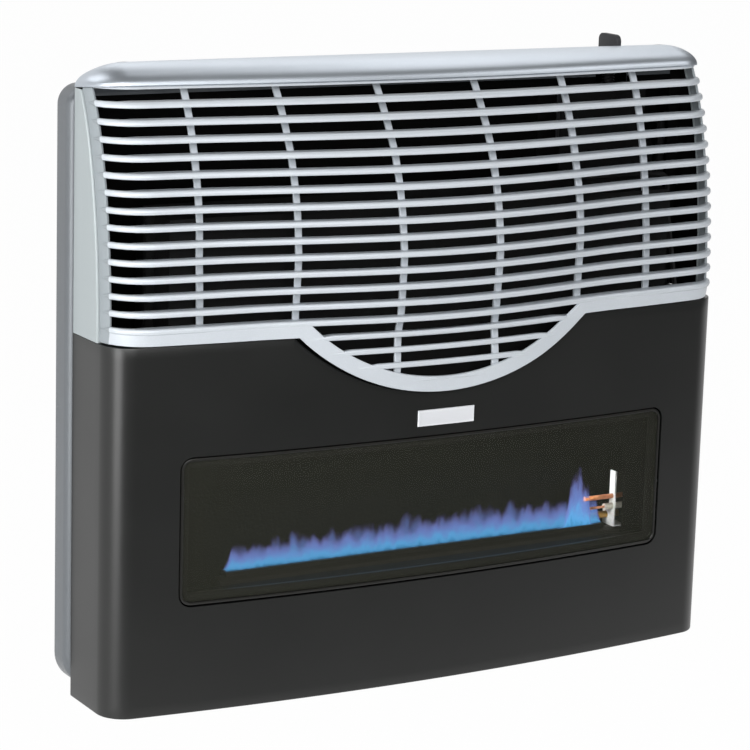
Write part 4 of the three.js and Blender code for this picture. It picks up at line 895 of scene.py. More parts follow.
@dataclass
class Window:
    """The slim frame and the glass in the casing's front."""

    casing: FrontCasing
    frame_width: float = 2.5
    recess: float = 0.6
    glass_recess: float = 1.2
    glass_thick: float = 4.0
    ledge: float = 7.0
    back: float = 9.2

    def outline(self, by: float, per_side: int = 60) -> tuple[np.ndarray, np.ndarray]:
        """Lists the window's outline.

        Args:
            by: How far inside the casing's opening it lies.
            per_side: How many steps the long sides have.

        Returns:
            The outline's x and z.
        """
        c = self.casing
        half, low, high = c.window_half - by, c.window_bottom + by, c.window_top - by
        r = max(c.window_corner - by, 1.0)
        turn = np.linspace(0, math.pi / 2, 9)
        right, up, down = half - r, high - r, low + r
        x, z = [], []
        for quarter, (cx, cz) in enumerate(((right, up), (-right, up), (-right, down), (right, down))):
            a = turn + quarter * math.pi / 2
            x.extend(cx + r * np.cos(a))
            z.extend(cz + r * np.sin(a))
            if quarter in (0, 2):
                x.extend(cx - 2 * cx * np.linspace(0, 1, per_side + 1)[1:-1])
                z.extend(np.full(per_side - 1, cz + (r if quarter == 0 else -r)))
        return np.array(x), np.array(z)

    def on_front(self, x: np.ndarray, z: np.ndarray, inset: float) -> np.ndarray:
        """Puts a front view's points on the casing's bowed front.

        Args:
            x: Distances from the middle.
            z: Heights.
            inset: How far behind the front they lie.

        Returns:
            The points.
        """
        return np.stack([x, inset - front_depth(x, self.casing.edge), z], -1)

    def build(self) -> None:
        """Builds the frame, the glass and the gasket."""
        outer, recess, back = self.casing.reveal, self.recess, self.back
        inner = outer + self.frame_width
        lip = inner + self.ledge
        frame_section = [
            (outer + 0.5, back), (outer, back - 0.4), (outer, recess + 0.9), (outer + 0.3, recess + 0.25),
            (outer + 0.9, recess), (inner - 0.5, recess + 0.1), (inner - 0.1, recess + 0.4),
            (inner, recess + 0.9), (inner, back - 2.2), (lip, back - 2.2), (lip, back),
        ]
        rope_section = [
            (inner + 0.4, 5.6), (inner + 2.0, 5.5), (inner + 6.2, 5.5),
            (inner + 6.8, 5.8), (inner + 6.2, 6.8), (inner + 0.6, 6.8),
        ]
        bezel, pane, rope = self._ring(frame_section), self._pane(inner + GAP), self._ring(rope_section)
        make_piece("window_bezel_ring", bezel, BEZEL_BLACK, "black_enamel", ["window_bezel"], crease=30)
        make_piece("window_glass_pane", pane, FireGlass(), "fire_glass", ["window_glass"], crease=30)
        make_piece("window_gasket_rope", rope, SEAL, "seal_rope", ["window_gasket"])

    def _ring(self, section: Sequence[Place]) -> Shape:
        """Runs a closed section round the window.

        Args:
            section: How far inside the casing's opening and how far behind the front each of its points lies.

        Returns:
            The points and the faces.
        """
        return loft([self.on_front(*self.outline(by), inset) for by, inset in section], Ends.JOINED)

    def _pane(self, by: float) -> Shape:
        """Forms the bowed glass with ground edges.

        Args:
            by: How far inside the casing's opening the glass ends.

        Returns:
            The points and the faces.
        """
        front, back = self.glass_recess, self.glass_recess + self.glass_thick
        middle = (self.casing.window_bottom + self.casing.window_top) / 2
        edge = [(8.0, 15 / 31, 0.0), (8.0, 25 / 31, 0.0), (4.0, 1.0, 0.0), (0.5, 1.0, 0.0), (0.0, 1.0, 0.5)]
        sections = [(shrink, share, front + behind) for shrink, share, behind in edge]
        sections += [(shrink, share, back - behind) for shrink, share, behind in reversed(edge)]
        rings = []
        for shrink, share, inset in sections:
            x, z = self.outline(by + shrink)
            rings.append(self.on_front(x, middle + (z - middle) * share, inset))
        rings = np.array(rings)
        count = rings.shape[1]
        faces = grid_faces(len(rings), count, closed=True)
        for first in (0, (len(rings) - 1) * count):
            faces += self._across(first, count)
        return rings, faces

    @staticmethod
    def _across(first: int, count: int) -> list:
        """Fills a ring by joining points that face each other.

        Args:
            first: The number of its first point.
            count: The number of its points.

        Returns:
            The faces.
        """
        last = first + count - 1
        return [(first + k, first + k + 1, last - k - 1, last - k) for k in range(count // 2 - 1)]


@dataclass
class Badge:
    """The small bright plate above the window, left bare."""

    x: float = 4.5
    bottom: float = 242.5
    width: float = 59.5
    height: float = 15.0
    thick: float = 2.0
    casing_edge: float = 104.7
    steps: int = 12

    def build(self) -> None:
        """Builds the plate with its bevelled rim."""
        row = self.steps + 1
        rings = []
        for by, out in ((0.4, 0.3), (0.0, 0.5), (0.0, 1.2), (0.4, 1.75), (1.1, 2.0), (1.5, 1.8), (2.0, 1.7)):
            x0, x1 = self.x - self.width / 2 + by, self.x + self.width / 2 - by
            z0, z1 = self.bottom + by, self.bottom + self.height - by
            x = np.concatenate([np.linspace(x0, x1, row), [x1], np.linspace(x1, x0, row), [x0]])
            z = np.concatenate([np.full(row, z0), [(z0 + z1) / 2], np.full(row, z1), [(z0 + z1) / 2]])
            rings.append(np.stack([x, -front_depth(x, self.casing_edge) - out, z], -1))
        rings = np.array(rings)
        count = rings.shape[1]
        faces = grid_faces(len(rings), count, closed=True)
        for first, order in ((0, -1), ((len(rings) - 1) * count, 1)):
            faces += [face[::order] for face in self._filling(first)]
        make_piece("badge_blank", (rings, faces), BADGE_METAL, "badge_metal", ["badge_plate"], crease=25)

    def _filling(self, first: int) -> list:
        """Fills a ring with upright strips.

        Args:
            first: The number of the ring's first point.

        Returns:
            The faces.
        """
        steps = self.steps
        bottom = [first + k for k in range(steps + 1)]
        top = [first + 2 * (steps + 1) - k for k in range(steps + 1)]
        faces = [(bottom[k], bottom[k + 1], top[k + 1], top[k]) for k in range(steps)]
        right, left = first + steps + 1, first + 2 * steps + 3
        return faces + [(bottom[steps], right, top[steps]), (bottom[0], top[0], left)]


@dataclass
class Cheeks:
    """The light side plates above the casing."""

    bottom: float = 333.3
    top: float = 547.3
    gap: float = 0.9
    flange_depth: float = 77.0
    level: float = 340.0
    rise: float = 240.0
    rear_flange: float = 13.0
    thick: float = 1.2

    def depth(self, z: np.ndarray) -> np.ndarray:
        """Returns how far from the wall the cheeks' front edge lies at each height."""
        return self.flange_depth * np.sqrt(1 - (np.maximum(z - self.level, 0) / self.rise) ** 2)

    def build(self) -> None:
        """Builds both cheeks, each with its edges rolled inwards."""
        z = spread((self.bottom, 0), (self.top, 40))
        front, rear = self.depth(z) - self.gap, np.full_like(z, SEAT)
        strips = [(rear, self.rear_flange), (rear, 1.2), (rear + 0.15, 0.5), (rear + 0.6, 0.1)]
        strips += [(rear + 1.3, 0.0)]
        strips += [(rear + 1.3 + t * (front - rear - 2.6), 0.0) for t in np.linspace(0, 1, 8)[1:]]
        strips += [(front - 0.5, 0.15), (front - 0.12, 0.6), (front, 1.3), (front, 5.0)]
        on_flange = 2 * (len(z) - 1)
        for side, word in ((-1, "left"), (1, "right")):
            grid = [np.stack([np.full_like(z, side * (HALF_WIDTH - i)), -y, z], -1) for y, i in strips]
            sheet = (np.array(grid), grid_faces(len(strips), len(z)))
            made = make_piece(
                f"{word}_cheek_plate", sheet, CHEEK_GREY, "cheek_paint", [f"{word}_cheek"],
                facing=(side, 0, 0))
            # The rear flanges and the inner side are near-black, painted shade for the inside of the heater.
            shade_inside_faces(made, lambda face: face.index < on_flange)
            thicken(made, self.thick, INSIDE_PAINTED_SHADE)
            soften(made, 0.25)


@dataclass
class Grille:
    """The silver front grille: side bands, bottom rail, dipping rim, slats, ribs and top rail."""

    lobe: Lobe
    cheeks: Cheeks
    bow: Bow = field(default_factory=lambda: Bow(41.0))
    set_back: float = 3.0
    pitch: float = 14.62
    first: float = 535.2
    full_slats: int = 14
    lobe_slats: int = 3
    slat_height: float = 5.1
    last_slat_height: float = 2.6
    last_slat_half: float = 40.0
    slat_ends: Place = (11.0, 20.0)
    tip_overlap: float = 10.0
    rib_places: tuple = (51.8, 151.0, 237.0)
    rib_width: float = 6.6
    rim_recess: float = 2.0
    rim_thick: float = 2.5
    rim_bottom: float = 334.5
    rail: float = 12.5
    rim: float = 14.5
    top: float = 552.5
    slot_angle: float = 68.0
    # Beyond this distance from the middle, the slats and the rim take the side bands' painted shade.
    shaded_ends_from: float = 314.5
    lip_rear: float = 547.8
    lip_rise: float = 6.0
    lip_run: float = 48.0
    belly_levels: tuple = (274, 301, 316, 330, 345, 375, 404, 433, 462, 491, 520, 535, 553)
    belly_depths: tuple = (2, 7.4, 9.2, 13, 16.8, 19.6, 22.8, 22.8, 22.2, 18.6, 11, 7.3, 3)
    rib_levels: tuple = (297, 309, 322, 334, 345, 400, 440, 470, 540)
    rib_insets: tuple = (3.7, 5.6, 8.8, 12.8, 15.0, 14.5, 16.5, 18.5, 20.0)
    outer_rib_inset: float = 18.5

    def surface(self, s: np.ndarray, z: np.ndarray, inset) -> np.ndarray:
        """Finds points of the slats' common front.

        Args:
            s: Signed lengths along the plan from the middle.
            z: Heights.
            inset: How far behind the front the points lie.

        Returns:
            The points.
        """
        s, z, inset = np.broadcast_arrays(s, z, inset)
        level = self.first - (self.full_slats - 1) * self.pitch
        settle = np.clip((level - z) / self.pitch, 0, 1)
        edge = self.cheeks.depth(z) - self.bow.side_depth(0.0) - self.set_back * settle
        reach = np.interp(z, (355, 440), (198, 265))
        bulge = np.interp(z, self.belly_levels, self.belly_depths)
        x, y = self.bow.place(s, edge, bulge, reach, inset)
        return np.stack([x, y, z], -1)

    def recess(self, s: np.ndarray) -> np.ndarray:
        """Returns how far the rim lies behind the slats' fronts, which is little in the middle."""
        return np.interp(np.abs(s), (215, 300), (0.6, self.rim_recess))

    def rib_inset(self, x: float, z: Measure) -> Measure:
        """Returns how far a rib at x lies behind the slats' fronts at each height."""
        if abs(x) > 200:
            return np.full_like(z, self.outer_rib_inset)
        return np.interp(z, self.rib_levels, self.rib_insets)

    def build(self) -> None:
        """Builds the whole grille."""
        edge = self.bow.along(self.slot_angle)
        self._rim(edge)
        wide, narrow = self.slat_ends
        for k in range(self.full_slats):
            made = self._slat(k, edge + self.tip_overlap, wide)
            self._shade_wrapped_ends(made)
            if k == 0:
                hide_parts("front_grille")
        for k in range(self.full_slats, self.full_slats + self.lobe_slats + 1):
            self._slat(k, self._reach_in_dip(k), narrow)
        for x in self.rib_places:
            for side in (-1, 1):
                self._rib(side * x)
        self._top_rail(edge)

    def _reach_in_dip(self, k: int) -> float:
        """Returns how far to each side a slat in the dip reaches, of which the last is a short one."""
        if k == self.full_slats + self.lobe_slats:
            return self.last_slat_half
        drop = min(self.lobe.centre - (self.first + 1.5 - k * self.pitch), self.lobe.radius - self.rim * 0.66)
        return math.sqrt((self.lobe.radius - self.rim * 0.42) ** 2 - drop**2)

    def _slat(self, k: int, half: float, taper: float) -> bpy.types.Object:
        """Builds one slat with its ends drawn out to points.

        Args:
            k: The slat's number from the top.
            half: How far it reaches to each side along the plan.
            taper: The length of its drawn out ends.

        Returns:
            The slat.
        """
        fine = half - taper
        on_rim = k >= self.full_slats
        is_last = k == self.full_slats + self.lobe_slats
        back = float(self.rib_inset(0.0, self._slat_foot(k))) + 1.5
        ends = fine + taper * np.sin(np.linspace(0, math.pi / 2, 9))[1:]
        s = both_ways(np.concatenate([np.linspace(0, fine, max(int(fine / 9), 6)), ends]))
        size = np.abs(s)
        shape = np.clip(np.clip((half - size) / taper, 0.0, 1.0) ** (0.5 if on_rim else 0.85), 0.06, 1.0)
        if on_rim:
            deep = np.full_like(s, 4.0 if is_last else back)
        else:
            deep = back + (4.0 - back) * np.clip((size - 0.9 * fine) / (0.1 * fine), 0, 1)
        nose = ((2.4, -0.44), (1.1, -0.5), (0.35, -0.36), (0.0, -0.08),
                (0.05, 0.18), (0.5, 0.4), (1.5, 0.5), (3.2, 0.5))
        sink = (1 - shape) * (self.recess(s) + 0.15)
        section = [(into + sink, up) for into, up in nose] + [(deep, 0.28), (deep, -0.3)]
        lines = [self.surface(s, self._slat_level(k, up, shape), into) for into, up in section]
        return make_piece(f"grille_slat_{k + 1}", bar(lines), SILVER, "silver_paint", crease=60)

    def _slat_foot(self, k: int) -> float:
        """Returns the height from which a slat's section is measured."""
        return self.first - k * self.pitch - 0.5

    def _slat_level(self, k: int, up: float, shape: np.ndarray) -> np.ndarray:
        """Finds the heights of a line along a slat.

        Args:
            k: The slat's number from the top.
            up: The line's place in the slat's section, from -0.5 at the bottom to 0.5 at the top.
            shape: The slat's fullness along its length, from 0 to 1.

        Returns:
            The heights.
        """
        if k < self.full_slats:
            return self._slat_foot(k) + 3.0 + up * self.slat_height * shape
        is_last = k == self.full_slats + self.lobe_slats
        tall = self.last_slat_height if is_last else self.slat_height
        return self._slat_foot(k) + 0.4 + (up + 0.5) * tall * shape + 3.0 * (1 - shape) ** 2

    def _shade_wrapped_ends(self, piece: bpy.types.Object) -> None:
        """Gives the parts that wrap round the sides the bands' darker, nearly unreflecting silver, which is
        painted shade.

        Args:
            piece: A slat or the lower rim.
        """
        piece.data.materials.append(BANDS_PAINTED_SHADE.material())
        for face in piece.data.polygons:
            if abs(face.center.x) > self.shaded_ends_from * 0.001:
                face.material_index = 1

    def _rim(self, edge: float) -> None:
        """Builds the ribbon of side bands, bottom rail and dipping rim.

        Args:
            edge: How far along the plan the slots start.
        """
        full = self.bow.along(90.0)
        lower = self._ribbon("grille_lower_rim", *self._lower_ribbon(edge, full), SILVER, (0, -1, 0))
        self._shade_wrapped_ends(lower)
        z = np.linspace(self.rim_bottom + self.rail - 0.01, self.top, 44)
        # The side bands are painted shade: a darker silver for faces turned away from the light.
        for side, word in ((-1, "left"), (1, "right")):
            s, heights = np.meshgrid(side * (edge + (full - edge) * np.linspace(0, 1, 8)), z)
            self._ribbon(f"grille_{word}_band", s, self._under_cap(s, heights), BANDS_PAINTED_SHADE, (side, -0.5, 0))

    def _under_cap(self, s: np.ndarray, z: np.ndarray) -> np.ndarray:
        """Keeps a band's top under the cap's rising lip.

        Args:
            s: Lengths along the plan.
            z: Heights.

        Returns:
            The heights, lowered where the cap is lower.
        """
        y = self.surface(s, z, self.recess(s))[..., 1]
        lip = self.lip_rear + self.lip_rise * np.clip((-y - FRAME_DEPTH) / self.lip_run, 0, 1) - 0.4
        share = np.clip((z - (self.top - 30)) / 30, 0, 1)
        return z - share * np.maximum(self.top - lip, 0)

    def _lower_ribbon(self, edge: float, full: float, rows: int = 9) -> tuple[np.ndarray, np.ndarray]:
        """Lists the points of the bottom rail and the dipping rim.

        Args:
            edge: How far along the plan the slots start.
            full: The length to the plan's end.
            rows: The number of rows.

        Returns:
            Lengths along the plan and heights, as grids.
        """
        bottom, top = self.rim_bottom, self.rim_bottom + self.rail
        outer, inner = self.lobe.corner(0.0, bottom), self.lobe.corner(-self.rim, top)
        turns = np.sort(np.concatenate([outer + CORNER_STEPS[4:], inner + CORNER_STEPS[:11]]))
        s = both_ways(np.concatenate([
            np.linspace(0, turns[0] - 3, 46), turns,
            np.linspace(turns[-1] + 3, edge, 26), np.linspace(edge, full, 8)[1:],
        ]))
        x = np.minimum(np.abs(s), 300.0)
        low, high = self.lobe.edge(x, 0.0, bottom), self.lobe.edge(x, -self.rim, top)
        t = np.linspace(0, 1, rows)[:, None]
        return np.broadcast_to(s, (rows, len(s))), low + t * (high - low)

    def _ribbon(
        self, name: str, s: np.ndarray, z: np.ndarray, finish: Finish, facing: Direction
    ) -> bpy.types.Object:
        """Builds a part of the rim from a grid of lengths and heights.

        Args:
            name: The piece's name.
            s: Lengths along the plan.
            z: Heights.
            finish: Its finish.
            facing: The way it faces.

        Returns:
            The new object.
        """
        sheet = (self.surface(s, z, self.recess(s)), grid_faces(*s.shape))
        made = make_piece(name, sheet, finish, "silver_paint", facing=facing)
        thicken(made, self.rim_thick)
        soften(made, 0.45)
        return made

    def _rib(self, x: float) -> None:
        """Builds an upright rib behind the slats.

        Args:
            x: Its distance from the middle.
        """
        foot = self.rim_bottom + self.rail
        reach = (self.lobe.radius - self.rim) ** 2 - x**2
        if reach > 0:
            foot = min(foot, self.lobe.centre - math.sqrt(reach))
        z = np.linspace(foot - 2.0, self.top - 1.0, 48)
        front = self.rib_inset(x, z)
        section = ((-0.5, 0.6), (-0.42, 0.0), (0.42, 0.0), (0.5, 0.6), (0.5, 2.6), (-0.5, 2.6))
        lines = [self.surface(np.full_like(z, x), z, front + into) + np.array([across * self.rib_width, 0, 0])
                 for across, into in section]
        word = "left" if x < 0 else "right"
        make_piece(f"grille_rib_{word}_{int(abs(x))}", bar(lines), SILVER, "silver_paint", crease=30)

    def _top_rail(self, edge: float) -> None:
        """Builds the thin rail under the cap.

        Args:
            edge: How far along the plan the slots start.
        """
        s = np.linspace(-edge - 1, edge + 1, 150)
        section = ((2.2, -2.2), (1.7, -1.7), (1.6, -0.5), (2.0, 0.0), (12.0, 0.0), (12.0, -2.2))
        lines = [self.surface(s, np.full_like(s, self.top + up), inset) for inset, up in section]
        make_piece("grille_top_rail", bar(lines), SILVER, "silver_paint", crease=40)


@dataclass
class TopCap:
    """The silver dome along the top, open at the back for the knob."""

    edge: float = 71.0
    bow: Bow = field(default_factory=lambda: Bow(34.0))
    bulge: float = 5.0
    bulge_reach: float = 265.0
    lip_rear: float = 547.8
    lip_front: float = 552.9
    lip_run: float = 48.0
    crest: float = 570.8
    rounding: float = 40.0
    fall: float = 5.0
    wall: float = 2.0

    def build(self) -> None:
        """Builds the dome with its rolled lip and the notch for the knob."""
        bow = self.bow
        rear = bow.side_end(self.edge)
        s = both_ways(spread((0.0, 0), (bow.front_end, 70), (bow.along(90.0), 26), (rear, 14)))
        lip = [self._row(s, into, lambda y, up=up: self._lip(y) + up)
               for into, up in ((1.7, 0.1), (1.1, -0.05), (0.4, 0.15), (0.08, 0.6))]
        dome = bar(self._face(s, self.wall)[::-1] + lip + self._face(s, 0.0))
        made = make_piece("top_cap_dome", dome, CAP_SILVER, "silver_paint", ["top_cap"])
        merge_points(made)
        bore_out(made, [turned([(KNOB_WELL, 540.0), (KNOB_WELL, 580.0)], KNOB_AT, 64)])

    def _row(self, s: np.ndarray, into: float, height: Callable) -> np.ndarray:
        """Lists a row of the dome's points.

        Args:
            s: Signed lengths along the plan.
            into: How far inwards of the outline the row lies.
            height: Gives the heights from the depths.

        Returns:
            The points.
        """
        x, y = self.bow.place(s, self.edge, self.bulge, self.bulge_reach, into)
        y = np.minimum(y, -SEAT)
        return np.stack([x, y, height(y)], -1)

    def _face(self, s: np.ndarray, wall: float) -> list:
        """Lists the rows of the outer or the inner face, from the lip to the rear edge.

        Args:
            s: Signed lengths along the plan.
            wall: How far inside the outer face it lies.

        Returns:
            The rows.
        """
        rows = []
        for t in np.linspace(0.1, 1, 28):
            share = 1 - math.cos(math.pi / 2 * t)
            into = wall + (self.rounding - wall) * share
            rows.append(self._row(s, into, lambda y, part=share: self._height(part * self.rounding, y, wall)))
        crest = rows[-1]
        across = np.linspace(crest[0, 0], crest[-1, 0], len(s))
        for t in np.linspace(0, 1, 9)[1:]:
            x = crest[:, 0] + (across - crest[:, 0]) * t
            y = crest[:, 1] - (SEAT + crest[:, 1]) * t
            rows.append(np.stack([x, y, self._height(self.rounding, y, wall)], -1))
        return rows

    def _lip(self, y: np.ndarray) -> np.ndarray:
        """Returns the height of the lower edge, which climbs from the wall to the front."""
        share = np.clip((-y - FRAME_DEPTH) / self.lip_run, 0, 1)
        return self.lip_rear + (self.lip_front - self.lip_rear) * share

    def _height(self, into: float, y: np.ndarray, wall: float) -> np.ndarray:
        """Finds the dome's height.

        Args:
            into: How far round the edge the points lie, up to the rounding.
            y: Their depths.
            wall: How far inside the outer face they lie.

        Returns:
            The heights.
        """
        fall = self.fall * np.clip(1 + (SEAT + y) / (self.lip_run / 2), 0, 1) ** 2
        base = self._lip(y)
        t = min(into / self.rounding, 1.0)
        return base + (self.crest - wall - fall - base) * math.sqrt(1 - (1 - t) ** 2)


@dataclass
class RearFrame:
    """The pressed wall frame with rounded corners and a rounded front edge, and the plate behind it."""

    half: float = 324.3
    bottom: float = 5.0
    top: float = 548.5
    lip: float = 9.0
    seat: float = 7.0
    top_corner: float = 18.0
    bottom_corner: float = 30.0
    flue: Place = (0.0, 345.0)
    flue_radius: float = 75.0
    keyholes: tuple = ((277.0, 425.0), (-277.0, 425.0), (150.0, 60.0), (-150.0, 60.0))
    keyhole_radius: float = 6.0
    slot_radius: float = 3.0
    slot_length: float = 12.0
    igniter_hole: float = 10.0
    union: Place = (292.0, -15.0)
    union_hole: float = 14.5

    def ring(self, by: float, depth: float, steps: int = 12) -> np.ndarray:
        """Lists a rounded rectangle.

        Args:
            by: How far inside the frame's outline it lies.
            depth: Its distance from the wall.
            steps: How many steps each corner has.

        Returns:
            The ring's points.
        """
        points = []
        corners = ((1, self.top, -1, self.top_corner, 0), (-1, self.top, -1, self.top_corner, 1),
                   (-1, self.bottom, 1, self.bottom_corner, 2), (1, self.bottom, 1, self.bottom_corner, 3))
        for sx, z, inward, r, quarter in corners:
            cx, cz = sx * (self.half - r), z + inward * r
            for a in np.linspace(0, math.pi / 2, steps + 1) + quarter * math.pi / 2:
                points.append((cx + (r - by) * math.cos(a), -depth, cz + (r - by) * math.sin(a)))
        return np.array(points)

    def build(self) -> None:
        """Builds the rim and the wall plate inside it."""
        self._rim()
        self._plate()

    def _rim(self) -> None:
        """Builds the rim, with the openings for the controls and the gas union."""
        turn, r, depth = self.lip, self.lip - SHEET, FRAME_DEPTH
        quarter = np.linspace(0, math.pi / 2, 10)
        rings = [self.ring(0.6, 0.0), self.ring(0.0, 0.6)]
        rings += [self.ring(turn - turn * math.cos(a), depth - turn + turn * math.sin(a)) for a in quarter]
        rings += [self.ring(turn + self.seat, depth), self.ring(turn + self.seat, depth - SHEET)]
        rings += [self.ring(turn - r * math.cos(a), depth - turn + r * math.sin(a)) for a in quarter[::-1]]
        rings.append(self.ring(SHEET, 0.0))
        rim = loft(rings, Ends.JOINED)
        made = make_piece("rear_frame_rim", rim, FRAME_GREY, "frame_paint", ["rear_frame"])
        sides = len(rings[0])
        # The rim's inner faces are near-black, painted shade for the inside of the heater.
        shade_inside_faces(made, lambda face: 11 * sides <= face.index < (len(rings) - 1) * sides)
        high = (self.top - self.lip - self.seat - 1, self.top + 2)
        low = (self.bottom - 2, self.bottom + self.lip + self.seat + 1)
        holes = (
            (KNOB_WELL, high, KNOB_AT), (self.igniter_hole, high, IGNITER_AT),
            (self.union_hole, low, self.union),
        )
        bore_out(made, [turned([(r, z0), (r, z1)], at, 64) for r, (z0, z1), at in holes])

    def _plate(self) -> None:
        """Builds the flat plate that lies on the wall, with the flue's hole and the keyholes."""
        by = SHEET + 0.05
        section = ((by + 0.2, 0.0), (by, 0.2), (by, SHEET - 0.2), (by + 0.2, SHEET))
        rings = [self.ring(inset, depth) for inset, depth in section]
        made = make_piece("wall_plate_sheet", loft(rings), FRAME_GREY, "frame_paint", ["wall_plate"])
        # The plate's front face, inside the heater, is near-black painted shade.
        shade_inside_faces(made, lambda face: face.center.y < -0.0014)
        cutters = [self._hole(self.flue_radius, self.flue, 72)]
        bore_out(made, cutters + [cutter for at in self.keyholes for cutter in self._keyhole(*at)])
        for number, at in enumerate(self.keyholes):
            self._dust_cup(number + 1, *at)

    @staticmethod
    def _hole(radius: float, at: Place, sides: int) -> Shape:
        """Forms a round cutter through the plate."""
        return turned([(radius, 4.0), (radius, -4.0)], at, sides, "y")

    def _keyhole(self, x: float, z: float) -> list[Shape]:
        """Forms the cutters of a keyhole: its round head and the slot above it.

        Args:
            x: The head's distance from the middle.
            z: The head's height.

        Returns:
            Both cutters.
        """
        r = self.slot_radius
        end = z + self.slot_length
        slot = [(x + r * math.cos(a), end + r * math.sin(a)) for a in np.linspace(0, math.pi, 13)]
        slot += [(x - r, z), (x + r, z)]
        head = self._hole(self.keyhole_radius, (x, z), 32)
        return [head, loft([[(u, y, v) for u, v in slot] for y in (4.0, -4.0)])]

    @staticmethod
    def _dust_cup(number: int, x: float, z: float) -> None:
        """Builds the pressed cup over a keyhole's inner side, which hides the wall.

        Args:
            number: The keyhole's number.
            x: The keyhole's distance from the middle.
            z: The keyhole's height.
        """
        a = np.linspace(0, 2 * math.pi, 33)[:-1]
        across = np.sign(np.cos(a)) * np.abs(np.cos(a)) ** 0.6
        up = np.sign(np.sin(a)) * np.abs(np.sin(a)) ** 0.6
        rings = []
        for depth, grow in ((-9.2, -0.8), (-1.7, 0.0), (-1.7, 1.0), (-9.0, 0.2), (-10.0, -0.8)):
            px, pz = x + (11.0 + grow) * across, z + 4.0 + (17.0 + grow) * up
            rings.append(np.stack([px, np.full_like(a, depth), pz], -1))
        # The cup is near-black, painted shade like the rest of the heater's inside.
        make_piece(f"keyhole_cup_{number}", loft(rings), INSIDE_PAINTED_SHADE, "black_enamel", crease=40)


@dataclass
class Knob:
    """The dark control knob with its ribbed grip blade."""

    at: Place = KNOB_AT
    under: float = 550.5
    skirt: float = 5.5
    skirt_radius: float = 16.5
    top: float = 579.3
    blade: float = 31.0
    width: float = 5.2
    corner: float = 6.0
    ribs: int = 9
    rib_pitch: float = 1.9
    rib_height: float = 0.9

    def build(self) -> None:
        """Builds the skirt, the blade and its ribs."""
        r, z, rim = self.skirt_radius, self.under, self.under + self.skirt
        profile = [
            (4.4, z - 4.4), (7.4, z - 4.5), (8.0, z - 4.0), (8.0, z), (r - 0.8, z), (r, z + 0.6),
            (r, rim - 1.6), (r - 0.5, rim - 0.5), (r - 1.6, rim),
            (8.6, rim), (7.9, rim + 3.4), (7.2, rim + 4),
        ]
        self._part("skirt", turned(profile, self.at, 72), replaces=["control_knob"])
        self._part("blade", self._blade(rim), crease=30)
        edge, w = self.blade / 2 - 0.15, self.width / 2 - 0.7
        left, right = self.at[0] - w, self.at[0] + w
        for k in range(self.ribs):
            foot = rim + 2.2 + k * self.rib_pitch
            for side, word in ((-1, "front"), (1, "rear")):
                y0, y1 = (self.at[1] + side * (edge + out) for out in (-0.1, 0.12))
                ring = [(left, y0), (right, y0), (right, y1), (left, y1)]
                rib = loft([[(x, y, level) for x, y in ring] for level in (foot, foot + self.rib_height)])
                self._part(f"{word}_rib_{k + 1}", rib)

    @staticmethod
    def _part(name: str, shape: Shape, **more: Any) -> None:
        """Makes one piece of the knob.

        Args:
            name: What it is.
            shape: Its points and faces.
            **more: What `make_piece` also takes.
        """
        make_piece(f"control_knob_{name}", shape, KNOB_PLASTIC, "knob_plastic", body="knob", **more)

    def _blade(self, rim: float) -> Shape:
        """Forms the upright grip blade with rounded shoulders.

        Args:
            rim: The height of the skirt's top.

        Returns:
            The points and the faces.
        """
        x, y = self.at
        half, c, w = self.blade / 2, self.corner, self.width / 2
        turn = np.linspace(0, math.pi / 2, 9)
        front = [(y - half + c - c * math.cos(a), self.top - c + c * math.sin(a)) for a in turn]
        rear = [(y + half - c + c * math.cos(a), self.top - c + c * math.sin(a)) for a in turn[::-1]]
        outline = np.array([(y - half, rim - 1), *front, *rear, (y + half, rim - 1)])
        away = outline - np.array([y, (self.top + rim) / 2])
        away /= np.abs(away).max(axis=1, keepdims=True)
        rings = []
        section = ((-w, 0.6), (-w + 0.2, 0.2), (-w + 0.6, 0.0), (w - 0.6, 0.0), (w - 0.2, 0.2), (w, 0.6))
        for across, shrink in section:
            ring = outline - shrink * away
            rings.append(np.column_stack([np.full(len(ring), x + across), ring]))
        return loft(rings)


@dataclass
class Spring:
    """A coil spring, which in the heater shortens as its joint is pushed; here it is built at one length."""

    name: str
    at: Place
    low: float
    high: float
    radius: float
    wire: float
    joint: str
    travel: float
    body: str
    solid: str
    turns: float = 6.0

    def build(self) -> None:
        """Builds the coil."""
        x, y = self.at
        t = np.linspace(0, 1, int(self.turns * 28))
        closed = np.interp(t, (0, 0.12, 0.88, 1), (0, 0.03, 0.97, 1))
        a = 2 * math.pi * self.turns * t
        z = self.low + self.wire + (self.high - self.low - 2 * self.wire) * closed
        route = np.stack([x + self.radius * np.cos(a), y + self.radius * np.sin(a), z], -1)
        coil = swept(route, self.wire, 8)
        made = make_piece(self.name, coil, BLUED_STEEL, "plated_steel", [self.solid], self.body)
        anchor = tuple(to_frame(np.array([x, y, self.low])))
        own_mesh(made)


@dataclass
class IgniterButton:
    """The igniter's push button with a dished top."""

    at: Place = IGNITER_AT

    def build(self) -> None:
        """Builds the button."""
        profile = [
            (5.6, 512.0), (6.0, 512.4), (6.0, 552.9), (6.7, 553.0), (7.0, 553.4), (7.0, 559.6), (6.8, 560.4),
            (6.2, 561.0), (5.0, 560.9), (3.0, 560.3), (0.6, 560.0),
        ]
        shape = turned(profile, self.at, 40)
        make_piece(
            "igniter_button_cap", shape, KNOB_PLASTIC, "knob_plastic", ["igniter_button"], body="button")


